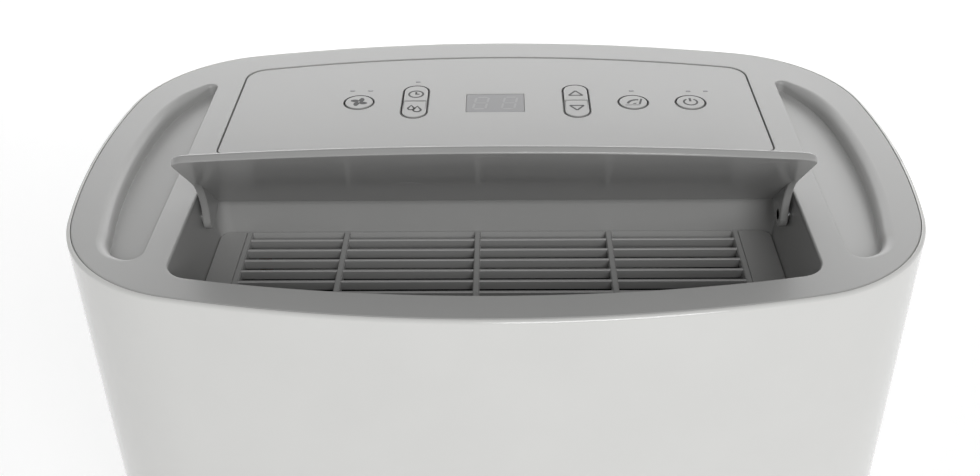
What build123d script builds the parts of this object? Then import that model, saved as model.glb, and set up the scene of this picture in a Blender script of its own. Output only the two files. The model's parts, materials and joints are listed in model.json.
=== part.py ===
from build123d import *

import os
from math import atan2, cos, degrees, hypot, radians, sin, sqrt

# A compressor dehumidifier that stands on four casters. Millimetres, +Z up, front faces -Y.
# The origin is on the floor, under the centre of the body's plan.

# ---- Case: overall size ------------------------------------------------------------------
width = 386.0             # X, over the bulge of the sides
depth = 259.0             # Y, over the bulge of the front and back
height = 500.0            # floor to the top of the deck
front_bow = 595.0         # plan radius of the front and the back
side_bow = 350.0          # plan radius of the sides
corner_bow = 73.0         # plan radius of the four corners
case_wall = 2.5           # shell thickness
rim = 1.8                 # thin top of the shell that shows round the deck
rim_round = 1.5           # rounding of the rim's outer edge
rim_step = 6.0            # height of the thinned top of the shell
split_y = -7.0            # where the front shell meets the rear shell
skirt_z = 18.0            # lower edge of both shells
shell_boss_x = 48.0       # screw bosses inside the foot of both shells
shell_boss_y = 106.0
shell_boss_r = 4.5
shell_boss_h = 24.0
screw_r = 2.0
screw_head_r = 4.0
screw_head_t = 2.2
gap = 0.3                 # clearance between pieces that aren't a fit
fit = 0.05                # radial clearance of a shaft in its hole

# ---- Base and casters --------------------------------------------------------------------
wheel_r = 12.0
wheel_room = 4.0          # from the top of the wheels to the base pan
base_z = 2 * wheel_r + wheel_room
base_t = 3.0
base_top = base_z + base_t
caster_x = 128.0
caster_y = 68.0
caster_trail = 8.0        # wheel axle behind the swivel stem
wheel_w = 12.0
leg_gap = 0.8             # between the wheel and each leg of the fork
pan_wall = 2.5
peg_r = 3.5               # pegs that the compressor's grommets sit on
tank_rail_x = 90.0        # the tank slides on three rails of the base pan
tank_rail_l = 78.0
fork_t = 2.5
fork_plate_z = base_z - 0.6
stem_r = 4.0
stem_h = 12.0
axle_r = 2.0

# ---- Deck, outlet well and flap ----------------------------------------------------------
deck_t = 2.5
deck_seam = 0.2           # gap between the deck and the shell's rim
deck_skirt = 28.0         # how far the deck's hidden skirt reaches down
well_half = 135.5         # half width of the outlet well at the deck
well_front = -111.8       # front edge of the well on the centre line
well_bow = 645.0          # plan radius of the well's front edge
well_corner = 11.0
well_back = -9.0          # back wall of the well, under the deck's lip
lip_y = -18.0             # edge of the deck's lip over the back of the well
lip_t = 2.2
well_depth = 36.0
well_draft = 3.2          # degrees
well_wall = 2.3
well_edge = 1.0           # rounding of the well's upper edge
ledge_t = 2.7             # ledge that carries the grille
ledge_w = 6.0
slot_w = 9.0              # slot in the well's side wall for the flap's pivot
slot_top = 1.5
slot_bottom = 21.0
pivot_y = -33.0
pivot_z = height - 13.0
flap_half = 134.0
flap_t = 3.5
flap_front_gap = 0.8
flap_back = -20.0
flap_open = 44.0          # degrees, the rest pose
ear_t = 3.5
ear_in = 0.2              # the ears stand in from the flap's ends by this
boss_r = 5.5
pin_r = 2.5
pin_l = 8.0
bush_l = 5.0
flap_motor_r = 10.0
flap_motor_drop = 7.3     # motor body hangs below its offset output shaft
flap_motor_l = 12.0

# ---- Outlet grille -----------------------------------------------------------------------
grille_t = 4.3
grille_left = -121.0
grille_right = 118.0
grille_ribs = (-72.0, -8.5, 55.0)
grille_rib_w = 3.0
slat_pitch = 8.5
slat_first = -17.2        # rear edge of the first full slat
slat_count = 9
slat_t = 1.6
slat_drop = 6.0
slat_lean = 4.2
grille_open_back = -12.0
grille_open_front = -92.0

# ---- Side pockets ------------------------------------------------------------------------
pocket_in = 148.4         # straight inner edge
pocket_out = 173.2        # widest reach of the curved edge
pocket_back = 82.0
pocket_front = -87.0
pocket_deep = 8.5         # at the outer wall
pocket_shallow = 5.0      # at the straight edge
pocket_tip = 3.0          # rounding of the rear and front corners of its plan
pocket_heel = 5.0
pocket_wall = 1.5
pocket_lip = 2.0
pocket_base_round = 2.5

# ---- Control panel -----------------------------------------------------------------------
panel_half = 135.0
panel_back = 110.0
panel_front = 3.0
panel_bow = 580.0
panel_corner = 12.0
panel_front_corner = 4.0
panel_t = 2.2
panel_drop = 0.3          # the panel lies this far below the deck
panel_groove = 0.7        # groove round the panel
panel_ledge = 3.0
window_x, window_y = 0.0, 55.3
window_l, window_w = 30.0, 20.0
key_round_r = 7.8         # opening of a round key
key_gap = 0.6
pill_w = 13.6
pill_l = 36.5
pill_divider_y = 57.0
key_proud = 0.3
key_travel = 0.6
key_flange_t = 1.0
key_flange_w = 1.2
board_z = 486.0
board_t = 1.6
switch_l = 6.0
switch_h = 3.4
round_keys = {"fan_key": (-70.8, 56.5), "louver_key": (71.3, 55.0), "power_key": (100.8, 54.5)}
pill_keys = {"timer_key": (-41.6, 1), "humidity_key": (-41.6, -1), "up_key": (42.0, 1), "down_key": (42.0, -1)}
lens_places = ((-75.6, 70.0), (-66.0, 70.0), (-41.4, 80.2), (71.5, 68.3), (101.2, 67.3), (110.3, 67.3))
lens_l, lens_w = 2.4, 1.3
lens_gap = 0.1
window_gap = 0.1
key_stem_r = 2.0
key_nub_r = 1.4
board_x, board_y = 4.0, 60.0
board_l, board_w = 236.0, 56.0
board_posts = ((-108.0, 36.0), (116.0, 36.0), (-108.0, 84.0), (90.0, 84.0))
board_post_r = 3.0

# ---- Fan and air path --------------------------------------------------------------------
fan_z = 330.0
fan_r = 74.0
fan_hub_r = 22.0
fan_l = 42.0
fan_blades = 26
fan_front = -90.0         # front face of the wheel
scroll_r = 88.0
scroll_front = -97.0
scroll_back = -40.0
scroll_wall = 2.5
scroll_half_top = 115.0
inlet_r = 58.0
fan_motor_r = 40.0
fan_motor_l = 24.0
fan_shaft_r = 4.0
shroud_t = 2.5

# ---- Coils, tray, pipes ------------------------------------------------------------------
coil_half = 120.0
coil_low = 243.0
coil_high = 431.0
coil_t = 24.0
condenser_y = 52.0        # front face
evaporator_y = 80.0
tube_r = 4.0
tube_rows = 8
shelf_z = 218.5           # underside of the partition's shelf
shelf_t = 2.0
tray_half = 122.5
tray_front = 48.0
tray_back = 107.0
tray_h = 20.0
tray_wall = 2.0
spigot_x = 104.0
spigot_z = 229.5
spigot_r = 6.5
spigot_bore = 4.5
spigot_flange_r = 8.5
spigot_l = 7.5
gland_x = -104.0
gland_z = 229.5
gland_in = 112.0          # inner face of the gland's flange
gland_out = 124.0
gland_bore = 3.5

# ---- Compressor and electrics ------------------------------------------------------------
comp_x, comp_y = -98.0, -42.0
comp_foot_t = 3.0
comp_dome = 22.0
comp_stub_x = 25.0        # suction and discharge stubs, each side of the axis
comp_stub_h = 6.0
comp_r = 52.0
comp_low = 48.0
comp_high = 226.0
foot_ring = 60.0
grommet_r = 9.0
grommet_neck_r = 7.0
capacitor_r = 17.5
capacitor_h = 65.0
box_low = (45.0, -94.0, 46.0)
box_high = (144.0, -26.0, 200.0)
box_wall = 2.0

# ---- Tank --------------------------------------------------------------------------------
tank_half = 150.0
tank_front = 29.0
tank_low = 42.0
tank_high = 207.0
tank_wall = 2.5
lid_t = 2.5
grip_half = 48.0
grip_low = 148.0
grip_high = 186.0
grip_deep = 20.0
partition_y = 22.0
partition_t = 2.5
float_x, float_y, float_z = 96.0, 46.0, 190.0
float_pin_r = 2.0
float_half = 8.0          # half width of the arm between the bracket's ears
float_l = 40.0
float_h = 22.0
ear_plate_t = 3.0
fill_l, fill_w = 60.0, 36.0
fill_y = 75.0
spout_r = 6.0
spout_bore = 4.0

# ---- Intake grille and filter ------------------------------------------------------------
intake_half = 112.0
intake_low = 246.0
intake_high = 436.0
intake_t = 3.0
intake_slots = 17
filter_half = 107.0
filter_t = 3.6
filter_front = 112.0
filter_low = 250.0
filter_high = 432.0
filter_border = 6.0
mesh_t = 0.8
notch_half = 20.0         # finger notch at the top of the intake grille
notch_h = 10.0

os.makedirs("parts", exist_ok=True)


def save(part, name):
    """Label a finished piece and write its STEP file."""
    part.label = name
    export_step(part, f"parts/{name}.step")


# ---- Plan curves that several pieces share -----------------------------------------------
def corner_centre():
    """Centre of the rear right corner arc: it is tangent to the back arc and the side arc."""
    back_y = depth / 2 - front_bow
    side_x = width / 2 - side_bow
    reach = hypot(side_x, back_y)
    to_back = front_bow - corner_bow
    to_side = side_bow - corner_bow
    foot = (reach**2 + to_back**2 - to_side**2) / (2 * reach)
    rise = sqrt(to_back**2 - foot**2)
    along_x, along_y = side_x / reach, -back_y / reach
    return along_x * foot + along_y * rise, back_y + along_y * foot - along_x * rise


def plan(inset):
    """The body's plan, drawn inwards by inset: four long arcs joined by four tangent corners."""
    corner_x, corner_y = corner_centre()
    back_turn = degrees(atan2(corner_y - (depth / 2 - front_bow), corner_x))
    side_turn = degrees(atan2(corner_y, corner_x - (width / 2 - side_bow)))
    with BuildSketch() as sketch:
        with BuildLine():
            CenterArc((0, depth / 2 - front_bow), front_bow - inset, back_turn, 90 - back_turn)
            CenterArc((corner_x, corner_y), corner_bow - inset, side_turn, back_turn - side_turn)
            CenterArc((width / 2 - side_bow, 0), side_bow - inset, 0, side_turn)
            mirror(about=Plane.XZ)
            mirror(about=Plane.YZ)
        make_face()
    return sketch.sketch


def plan_y(x, inset=0.0):
    """Y of the back of the body's plan at x, where the back arc still runs."""
    return depth / 2 - front_bow + sqrt((front_bow - inset) ** 2 - x**2)


def well_plan(back, grow=0.0, back_corner=2.0, front_grow=None):
    """Plan of the outlet well: straight sides, bowed front, rounded corners."""
    half = well_half + grow
    front = well_front - (grow if front_grow is None else front_grow)
    radius = well_bow + grow
    corner_y = front + radius - sqrt(radius**2 - half**2)
    with BuildSketch() as sketch:
        with BuildLine():
            ThreePointArc((-half, corner_y), (0, front), (half, corner_y))
            Polyline((half, corner_y), (half, back + grow), (-half, back + grow), (-half, corner_y))
        make_face()
        corners = sketch.vertices().sort_by(Axis.Y)
        fillet(corners[:2], well_corner + max(grow, -3.0))
        fillet(sketch.vertices().sort_by(Axis.Y)[-2:], max(back_corner + grow, 0.5))
    return sketch.sketch


def panel_plan(inset):
    """Plan of the control panel: bowed back edge, straight sides and front."""
    half = panel_half - inset
    back = panel_back - inset
    radius = panel_bow - inset
    corner_y = back - radius + sqrt(radius**2 - half**2)
    with BuildSketch() as sketch:
        with BuildLine():
            ThreePointArc((half, corner_y), (0, back), (-half, corner_y))
            Polyline((-half, corner_y), (-half, panel_front + inset), (half, panel_front + inset), (half, corner_y))
        make_face()
        fillet(sketch.vertices().sort_by(Axis.Y)[:2], panel_front_corner - min(inset, 1.0))
        fillet(sketch.vertices().sort_by(Axis.Y)[-2:], panel_corner - min(inset, 4.0))
    return sketch.sketch


def pocket_plan(grow=0.0):
    """Plan of the right side pocket: straight inner edge, outer edge in three arcs."""
    reach = pocket_out - pocket_in
    with BuildSketch() as sketch:
        with BuildLine():
            tip = (pocket_in, pocket_back)
            shoulder = (pocket_in + 0.87 * reach, 0.47 * pocket_back)
            heel = (pocket_in + 0.76 * reach, 0.75 * pocket_front)
            Line((pocket_in, pocket_front), tip)
            ThreePointArc(tip, (pocket_in + 0.52 * reach, 0.79 * pocket_back), shoulder)
            ThreePointArc(shoulder, (pocket_out, 0.1 * pocket_front), heel)
            ThreePointArc(heel, (pocket_in + 0.44 * reach, 0.945 * pocket_front), (pocket_in, pocket_front))
        make_face()
        fillet(sketch.vertices().sort_by(Axis.Y)[-1:], pocket_tip)
        fillet(sketch.vertices().sort_by(Axis.Y)[:1], pocket_heel)
        if grow:
            offset(amount=grow)
    return sketch.sketch


def box_between(low, high, mode=Mode.ADD):
    """A box from its lowest corner to its highest, inside the part being built."""
    size = [high[i] - low[i] for i in range(3)]
    with Locations(tuple(low)):
        Box(*size, align=(Align.MIN, Align.MIN, Align.MIN), mode=mode)


# ---- Front and rear shells ---------------------------------------------------------------
def shell_ring(outer, inner, front):
    """Plan of a case wall between two insets, on one side of the split."""
    with BuildSketch() as ring:
        add(plan(outer))
        add(plan(inner), mode=Mode.SUBTRACT)
        with Locations((0, split_y - gap / 2 if front else split_y + gap / 2)):
            keep = Align.MAX if front else Align.MIN
            Rectangle(2 * width, 2 * depth, align=(Align.CENTER, keep), mode=Mode.INTERSECT)
    return ring.sketch


step_z = height - rim_step
outer_bows = (front_bow, side_bow, corner_bow)
screw_places = [(x, y) for x in (-shell_boss_x, shell_boss_x) for y in (-shell_boss_y, shell_boss_y)]
rear_reach = depth / 2 + 1


def outer_rim_edges(part):
    """The outermost arcs of a shell's top face."""
    arcs = part.faces().sort_by(Axis.Z)[-1].edges().filter_by(GeomType.CIRCLE)
    return arcs.filter_by(lambda arc: min(abs(arc.radius - bow) for bow in outer_bows) < 0.01)


def boss_plan(x, y):
    """Screw boss with a rib as wide as itself to the wall behind it."""
    wall_y = (plan_y(x) - case_wall / 2) * (1 if y > 0 else -1)
    with BuildSketch() as boss:
        with Locations((x, y)):
            Circle(shell_boss_r)
        with Locations((x, (y + wall_y) / 2)):
            Rectangle(2 * shell_boss_r, abs(wall_y - y))
        with Locations((x, y)):
            Circle(screw_r, mode=Mode.SUBTRACT)
    return boss.sketch


with BuildPart() as front_shell:
    with BuildSketch(Plane.XY.offset(skirt_z)):
        add(shell_ring(0, case_wall, True))
    extrude(amount=step_z - skirt_z)
    with BuildSketch(Plane.XY.offset(step_z)):
        add(shell_ring(0, rim, True))
    extrude(amount=rim_step)
    fillet(outer_rim_edges(front_shell), rim_round)
    with BuildSketch(Plane.XY.offset(base_top)):
        for x in (-shell_boss_x, shell_boss_x):
            add(boss_plan(x, -shell_boss_y))
    extrude(amount=shell_boss_h)
save(front_shell.part, "front_shell")


# ---- Rear shell: openings for the intake grille, the tank, the spigot and the gland --------
with BuildPart() as rear_shell:
    with BuildSketch(Plane.XY.offset(skirt_z)):
        add(shell_ring(0, case_wall, False))
    extrude(amount=step_z - skirt_z)
    with BuildSketch(Plane.XY.offset(step_z)):
        add(shell_ring(0, rim, False))
    extrude(amount=rim_step)
    fillet(outer_rim_edges(rear_shell), rim_round)
    with BuildSketch(Plane.XY.offset(base_top)):
        for x in (-shell_boss_x, shell_boss_x):
            add(boss_plan(x, shell_boss_y))
    extrude(amount=tank_low - base_top - 2 * gap)
    box_between((-intake_half - gap, 60, intake_low - gap), (intake_half + gap, rear_reach, intake_high + gap),
                Mode.SUBTRACT)
    box_between((-tank_half - gap, 60, tank_low - gap),
                (tank_half + gap, rear_reach, tank_high + lid_t + 2 * gap), Mode.SUBTRACT)
    with BuildSketch(Plane.XZ.offset(-rear_reach)):
        with Locations((spigot_x, spigot_z), (gland_x, gland_z)):
            Circle(spigot_flange_r + gap)
    extrude(amount=40, mode=Mode.SUBTRACT)
save(rear_shell.part, "rear_shell")


# ---- Base pan ----------------------------------------------------------------------------
caster_places = {"front_left": (-caster_x, -caster_y), "front_right": (caster_x, -caster_y),
                 "rear_left": (-caster_x, caster_y), "rear_right": (caster_x, caster_y)}
grommet_places = [(comp_x + foot_ring * cos(radians(turn)), comp_y + foot_ring * sin(radians(turn)))
                  for turn in (30, 150, 270)]

with BuildPart() as base_pan:
    with BuildSketch(Plane.XY.offset(base_z)):
        add(plan(case_wall + gap))
    extrude(amount=base_t)
    with BuildSketch(Plane.XY.offset(skirt_z + 1)):
        add(plan(case_wall + gap))
        add(plan(case_wall + gap + pan_wall), mode=Mode.SUBTRACT)
    extrude(amount=base_z - skirt_z - 1)
    with BuildSketch(Plane.XY.offset(base_top)):
        with Locations(*caster_places.values()):
            Circle(2 * stem_r)
    extrude(amount=stem_h - base_t + 1)
    with BuildSketch(Plane.XY.offset(base_top)):
        with Locations(*grommet_places):
            Circle(peg_r)
    extrude(amount=comp_low - base_top - 3)
    with BuildSketch(Plane.XY.offset(base_top)):
        with Locations(*[(x, tank_front + 6) for x in (-tank_rail_x, 0, tank_rail_x)]):
            Rectangle(8, tank_rail_l, align=(Align.CENTER, Align.MIN))
    extrude(amount=tank_low - base_top - gap)
    with BuildSketch(Plane.XY.offset(base_z)):
        with Locations(*caster_places.values()):
            Circle(stem_r + fit)
    extrude(amount=stem_h, mode=Mode.SUBTRACT)
    with BuildSketch(Plane.XY.offset(base_z)):
        with Locations(*screw_places):
            Circle(screw_r + gap)
    extrude(amount=base_t, mode=Mode.SUBTRACT)
save(base_pan.part, "base_pan")

with BuildPart() as case_screws:
    with BuildSketch(Plane.XY.offset(base_z - screw_head_t)):
        with Locations(*screw_places):
            Circle(screw_head_r)
    extrude(amount=screw_head_t)
    fillet(case_screws.edges().filter_by(GeomType.CIRCLE).group_by(Axis.Z)[0], 0.8)
    with BuildSketch(Plane.XY.offset(base_z)):
        with Locations(*screw_places):
            Circle(screw_r)
    extrude(amount=base_t + 7)
save(case_screws.part, "case_screws")


# ---- Casters: fork with its swivel stem, axle, wheel ---------------------------------------
leg_in = wheel_w / 2 + leg_gap
leg_out = leg_in + fork_t
for place, (stem_x, stem_y) in caster_places.items():
    axle_y = stem_y + caster_trail
    with BuildPart() as fork:
        with BuildSketch(Plane.XY.offset(fork_plate_z - fork_t)):
            with Locations((stem_x, stem_y)):
                Circle(2.4 * stem_r)
            with Locations((stem_x, (stem_y + axle_y) / 2)):
                Rectangle(2 * leg_out, caster_trail + 8)
        extrude(amount=fork_t)
        with BuildSketch(Plane.XY.offset(fork_plate_z)):
            with Locations((stem_x, stem_y)):
                Circle(stem_r)
        extrude(amount=stem_h - 1)
        for leg_x in (stem_x - leg_out, stem_x + leg_in):
            with BuildSketch(Plane.YZ.offset(leg_x)):
                with Locations((axle_y, wheel_r)):
                    Circle(2.4 * axle_r)
                with Locations((axle_y, wheel_r)):
                    Rectangle(4.8 * axle_r, fork_plate_z - fork_t - wheel_r, align=(Align.CENTER, Align.MIN))
            extrude(amount=fork_t)
        with BuildSketch(Plane.YZ.offset(stem_x - leg_out)):
            with Locations((axle_y, wheel_r)):
                Circle(axle_r)
        extrude(amount=2 * leg_out, mode=Mode.SUBTRACT)
    save(fork.part, f"caster_fork_{place}")

    with BuildPart() as axle:
        with BuildSketch(Plane.YZ.offset(stem_x - leg_out - 1)):
            with Locations((axle_y, wheel_r)):
                Circle(axle_r)
        extrude(amount=2 * leg_out + 2)
        with BuildSketch(Plane.YZ.offset(stem_x - leg_out - 1)):
            with Locations((axle_y, wheel_r)):
                Circle(1.5 * axle_r)
        extrude(amount=1)
    save(axle.part, f"caster_axle_{place}")

    with BuildPart() as wheel:
        with BuildSketch(Plane.YZ.offset(stem_x - wheel_w / 2)):
            with Locations((axle_y, wheel_r)):
                Circle(wheel_r)
                Circle(axle_r + fit, mode=Mode.SUBTRACT)
        extrude(amount=wheel_w)
        fillet(wheel.edges().filter_by(GeomType.CIRCLE).filter_by(lambda edge: edge.radius > wheel_r - 0.1), 1.5)
        for side_x in (stem_x - wheel_w / 2, stem_x + wheel_w / 2 - 1.5):
            with BuildSketch(Plane.YZ.offset(side_x)):
                with Locations((axle_y, wheel_r)):
                    Circle(0.72 * wheel_r)
                    Circle(2 * axle_r, mode=Mode.SUBTRACT)
            extrude(amount=1.5, mode=Mode.SUBTRACT)
    save(wheel.part, f"caster_wheel_{place}")


# ---- Side pocket: the empty space, sloping floor and rounded lip ----------------------------
def pocket_space():
    """Space of the right pocket: the curved plan cut off by a floor that falls outwards."""
    slope = (pocket_deep - pocket_shallow) / (pocket_out - pocket_in)
    low = height - pocket_deep - 5
    with BuildPart() as space:
        with BuildSketch(Plane.XY.offset(low)):
            add(pocket_plan())
        extrude(amount=height - low)
        with BuildSketch(Plane.XZ.offset(-rear_reach)):
            with BuildLine():
                Polyline((pocket_in - 5, low - 1), (pocket_out + 5, low - 1),
                         (pocket_out + 5, height - pocket_deep - 5 * slope),
                         (pocket_in - 5, height - pocket_shallow + 5 * slope), close=True)
            make_face()
        extrude(amount=2 * rear_reach, mode=Mode.SUBTRACT)
        fillet(space.faces().sort_by(Axis.Z)[0].edges(), pocket_base_round)
        box_between((pocket_in - 8, pocket_front - 8, height), (pocket_out + 8, pocket_back + 8, height + 4))
        lip = space.edges().filter_by(lambda edge: abs(edge.bounding_box().min.Z - height) < 0.01
                                      and abs(edge.bounding_box().max.Z - height) < 0.01
                                      and pocket_in - 1 < edge.center().X < pocket_out + 1
                                      and pocket_front - 1 < edge.center().Y < pocket_back + 1)
        fillet(lip, pocket_lip)
    return space.part


def well_space():
    """Space of the outlet well: drafted below the deck's lip, with a rounded upper edge."""
    with BuildPart() as space:
        with BuildSketch(Plane.XY.offset(height - lip_t)):
            add(well_plan(well_back, 0.0, 8.0))
        extrude(amount=-(well_depth - lip_t), taper=well_draft)
        with BuildSketch(Plane.XY.offset(height - lip_t)):
            add(well_plan(lip_y))
        extrude(amount=lip_t)
        box_between((-well_half - 9, well_front - 9, height), (well_half + 9, lip_y + 9, height + 4))
        lip = space.edges().filter_by(lambda edge: abs(edge.bounding_box().min.Z - height) < 0.01
                                      and abs(edge.bounding_box().max.Z - height) < 0.01
                                      and abs(edge.center().X) < well_half + 1
                                      and well_front - 1 < edge.center().Y < lip_y + 1)
        fillet(lip, well_edge)
    return space.part


# ---- Top deck ----------------------------------------------------------------------------
well_floor = height - well_depth
ledge_top = well_floor - grille_t
panel_top = height - panel_drop
panel_under = panel_top - panel_t
right_pocket = pocket_space()

with BuildPart() as top_deck:
    with BuildSketch(Plane.XY.offset(height - deck_t)):
        add(plan(rim + deck_seam))
    extrude(amount=deck_t)
    with BuildSketch(Plane.XY.offset(height - deck_skirt)):
        add(plan(case_wall + gap))
        add(plan(case_wall + gap + 2), mode=Mode.SUBTRACT)
    extrude(amount=deck_skirt - rim_step - gap)
    with BuildSketch(Plane.XY.offset(height - rim_step - gap)):
        add(plan(case_wall + gap))
        add(plan(case_wall + gap + 2), mode=Mode.SUBTRACT)
    extrude(amount=rim_step + gap - deck_t)
    with BuildSketch(Plane.XY.offset(ledge_top - ledge_t)):
        add(well_plan(well_back, well_wall, 8.0))
    extrude(amount=height - deck_t - ledge_top + ledge_t)
    with BuildSketch(Plane.XY.offset(panel_under - panel_ledge)):
        add(panel_plan(-well_wall))
    extrude(amount=height - deck_t - panel_under + panel_ledge)
    with BuildSketch(Plane.XY.offset(height - pocket_deep - pocket_wall)):
        add(pocket_plan(pocket_wall))
        mirror(about=Plane.YZ)
    extrude(amount=pocket_deep + pocket_wall - deck_t)
    add(right_pocket, mode=Mode.SUBTRACT)
    add(right_pocket.mirror(Plane.YZ), mode=Mode.SUBTRACT)
    add(well_space(), mode=Mode.SUBTRACT)
    with BuildSketch(Plane.XY.offset(ledge_top)):
        add(well_plan(well_back, -2.0, 8.0))
    extrude(amount=well_floor - ledge_top, mode=Mode.SUBTRACT)
    with BuildSketch(Plane.XY.offset(ledge_top - ledge_t)):
        add(well_plan(well_back, -ledge_w, 8.0))
    extrude(amount=ledge_t, mode=Mode.SUBTRACT)
    with BuildSketch(Plane.XY.offset(panel_under)):
        add(panel_plan(0))
    extrude(amount=height - panel_under, mode=Mode.SUBTRACT)
    with BuildSketch(Plane.XY.offset(panel_under - panel_ledge)):
        add(panel_plan(panel_ledge))
    extrude(amount=panel_ledge, mode=Mode.SUBTRACT)
    with BuildSketch(Plane.YZ.offset(-well_half - 2 * well_wall)):
        with Locations((pivot_y, height - slot_top)):
            Rectangle(slot_w, slot_bottom - slot_top, align=(Align.CENTER, Align.MAX))
        with Locations((pivot_y, pivot_z)):
            Circle(boss_r)
    extrude(amount=4 * well_wall, mode=Mode.SUBTRACT)
    with BuildSketch(Plane.YZ.offset(well_half - 2 * well_wall)):
        with Locations((pivot_y, height - slot_top)):
            Rectangle(slot_w, slot_bottom - slot_top, align=(Align.CENTER, Align.MAX))
    extrude(amount=4 * well_wall, mode=Mode.SUBTRACT)
save(top_deck.part, "top_deck")


# ---- Outlet grille: plate with four windows, leaning slats and ribs flush on top -----------
slat_places = [slat_first - slat_pitch * i for i in range(slat_count)]

with BuildPart() as outlet_grille:
    with BuildSketch(Plane.XY.offset(ledge_top)):
        add(well_plan(well_back, -2.0 - gap, 8.0))
    extrude(amount=grille_t)
    box_between((grille_left, grille_open_front, ledge_top - 1), (grille_right, grille_open_back, well_floor + 1),
                Mode.SUBTRACT)
    with BuildSketch(Plane.YZ.offset(grille_left)):
        for slat_y in slat_places:
            with BuildLine():
                Polyline((slat_y, well_floor), (slat_y - slat_lean, well_floor - slat_drop),
                         (slat_y - slat_lean - slat_t, well_floor - slat_drop),
                         (slat_y - slat_t, well_floor), close=True)
            make_face()
    extrude(amount=grille_right - grille_left)
    with BuildSketch(Plane.XY.offset(ledge_top)):
        for rib_x in (grille_left + grille_rib_w / 2, *grille_ribs, grille_right - grille_rib_w / 2):
            with Locations((rib_x, (grille_open_front + grille_open_back) / 2)):
                Rectangle(grille_rib_w, grille_open_back - grille_open_front)
    extrude(amount=grille_t)
save(outlet_grille.part, "outlet_grille")


# ---- Outlet flap: modelled shut, then turned open about its pivot ---------------------------
flap_hinge = Axis((0, pivot_y, pivot_z), (1, 0, 0))
ear_out = flap_half - ear_in
flap_under = height - flap_t

with BuildPart() as shut_flap:
    with BuildSketch(Plane.XY.offset(flap_under)):
        add(well_plan(flap_back, flap_half - well_half, 2.0, -flap_front_gap))
    extrude(amount=flap_t)
    fillet(shut_flap.edges().filter_by(Axis.X).group_by(Axis.Y)[-1].sort_by(Axis.Z)[-1:], 1.5)
    for ear_x in (-ear_out, ear_out - ear_t):
        with BuildSketch(Plane.YZ.offset(ear_x)):
            with BuildLine():
                Line((pivot_y + 10, flap_under), (pivot_y - 29, flap_under))
                ThreePointArc((pivot_y - 29, flap_under), (pivot_y - 14.9, pivot_z + 6.5),
                              (pivot_y - 4, pivot_z - 3.5))
                Line((pivot_y - 4, pivot_z - 3.5), (pivot_y + 5, pivot_z - 1))
                Line((pivot_y + 5, pivot_z - 1), (pivot_y + 10, flap_under))
            make_face()
            with Locations((pivot_y, pivot_z)):
                Circle(boss_r)
        extrude(amount=ear_t)
    with BuildSketch(Plane.YZ.offset(-ear_out - pin_l)):
        with Locations((pivot_y, pivot_z)):
            Circle(pin_r)
    extrude(amount=pin_l)
    with BuildSketch(Plane.YZ.offset(ear_out - ear_t)):
        with Locations((pivot_y, pivot_z)):
            Circle(pin_r)
    extrude(amount=ear_t, mode=Mode.SUBTRACT)
save(shut_flap.part.rotate(flap_hinge, -flap_open), "outlet_flap")

bracket_in = well_half + well_wall + 0.1
with BuildPart() as flap_drive_shaft:
    with BuildSketch(Plane.YZ.offset(ear_out - ear_t)):
        with Locations((pivot_y, pivot_z)):
            Circle(pin_r)
    extrude(amount=bracket_in + 5 - ear_out + ear_t)
save(flap_drive_shaft.part, "flap_drive_shaft")

with BuildPart() as flap_motor:
    with BuildSketch(Plane.YZ.offset(bracket_in)):
        with Locations((pivot_y, pivot_z - flap_motor_drop)):
            Circle(flap_motor_r)
            with Locations((-flap_motor_r - 2, 0), (flap_motor_r + 2, 0)):
                Circle(3)
            Rectangle(2 * flap_motor_r + 4, 6)
    extrude(amount=1.0)
    with BuildSketch(Plane.YZ.offset(bracket_in + 1)):
        with Locations((pivot_y, pivot_z - flap_motor_drop)):
            Circle(flap_motor_r)
    extrude(amount=flap_motor_l)
    fillet(flap_motor.faces().sort_by(Axis.X)[-1].edges(), 1)
    with BuildSketch(Plane.YZ.offset(bracket_in)):
        with Locations((pivot_y, pivot_z)):
            Circle(1.7 * pin_r)
    extrude(amount=6)
    with BuildSketch(Plane.YZ.offset(bracket_in)):
        with Locations((pivot_y, pivot_z)):
            Circle(pin_r + fit)
    extrude(amount=5.5, mode=Mode.SUBTRACT)
save(flap_motor.part, "flap_motor")

with BuildPart() as flap_bush:
    with BuildSketch(Plane.YZ.offset(-bracket_in - bush_l)):
        with Locations((pivot_y, pivot_z - 1)):
            RectangleRounded(slot_w + 7, 19, 3)
        with Locations((pivot_y, pivot_z)):
            Circle(pin_r + fit, mode=Mode.SUBTRACT)
    extrude(amount=bush_l)
save(flap_bush.part, "flap_bush")


# ---- Control panel with its keys, lenses and window ----------------------------------------
def pill_plan(upper, shrink=0.0, divide=0.0):
    """One half of a pill-shaped opening: divide keeps it back from the divider line."""
    with BuildSketch() as half:
        SlotOverall(pill_l - 2 * shrink, pill_w - 2 * shrink, rotation=90)
        with Locations((0, divide if upper > 0 else -divide)):
            Rectangle(pill_w, pill_l, align=(Align.CENTER, Align.MIN if upper > 0 else Align.MAX),
                      mode=Mode.INTERSECT)
    return half.sketch


with BuildPart() as control_panel:
    with BuildSketch(Plane.XY.offset(panel_under)):
        add(panel_plan(panel_groove))
        with Locations((window_x, window_y)):
            Rectangle(window_l + 2 * window_gap, window_w + 2 * window_gap, mode=Mode.SUBTRACT)
        with Locations(*round_keys.values()):
            Circle(key_round_r, mode=Mode.SUBTRACT)
        with Locations(*[(x, pill_divider_y) for x, upper in pill_keys.values() if upper > 0]):
            SlotOverall(pill_l, pill_w, rotation=90, mode=Mode.SUBTRACT)
        with Locations(*lens_places):
            SlotOverall(lens_l + 2 * lens_gap, lens_w + 2 * lens_gap, mode=Mode.SUBTRACT)
    extrude(amount=panel_t)
    with BuildSketch(Plane.XY.offset(board_z + board_t)):
        with Locations(*board_posts):
            Circle(board_post_r)
    extrude(amount=panel_under - board_z - board_t)
save(control_panel.part, "control_panel")

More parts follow.
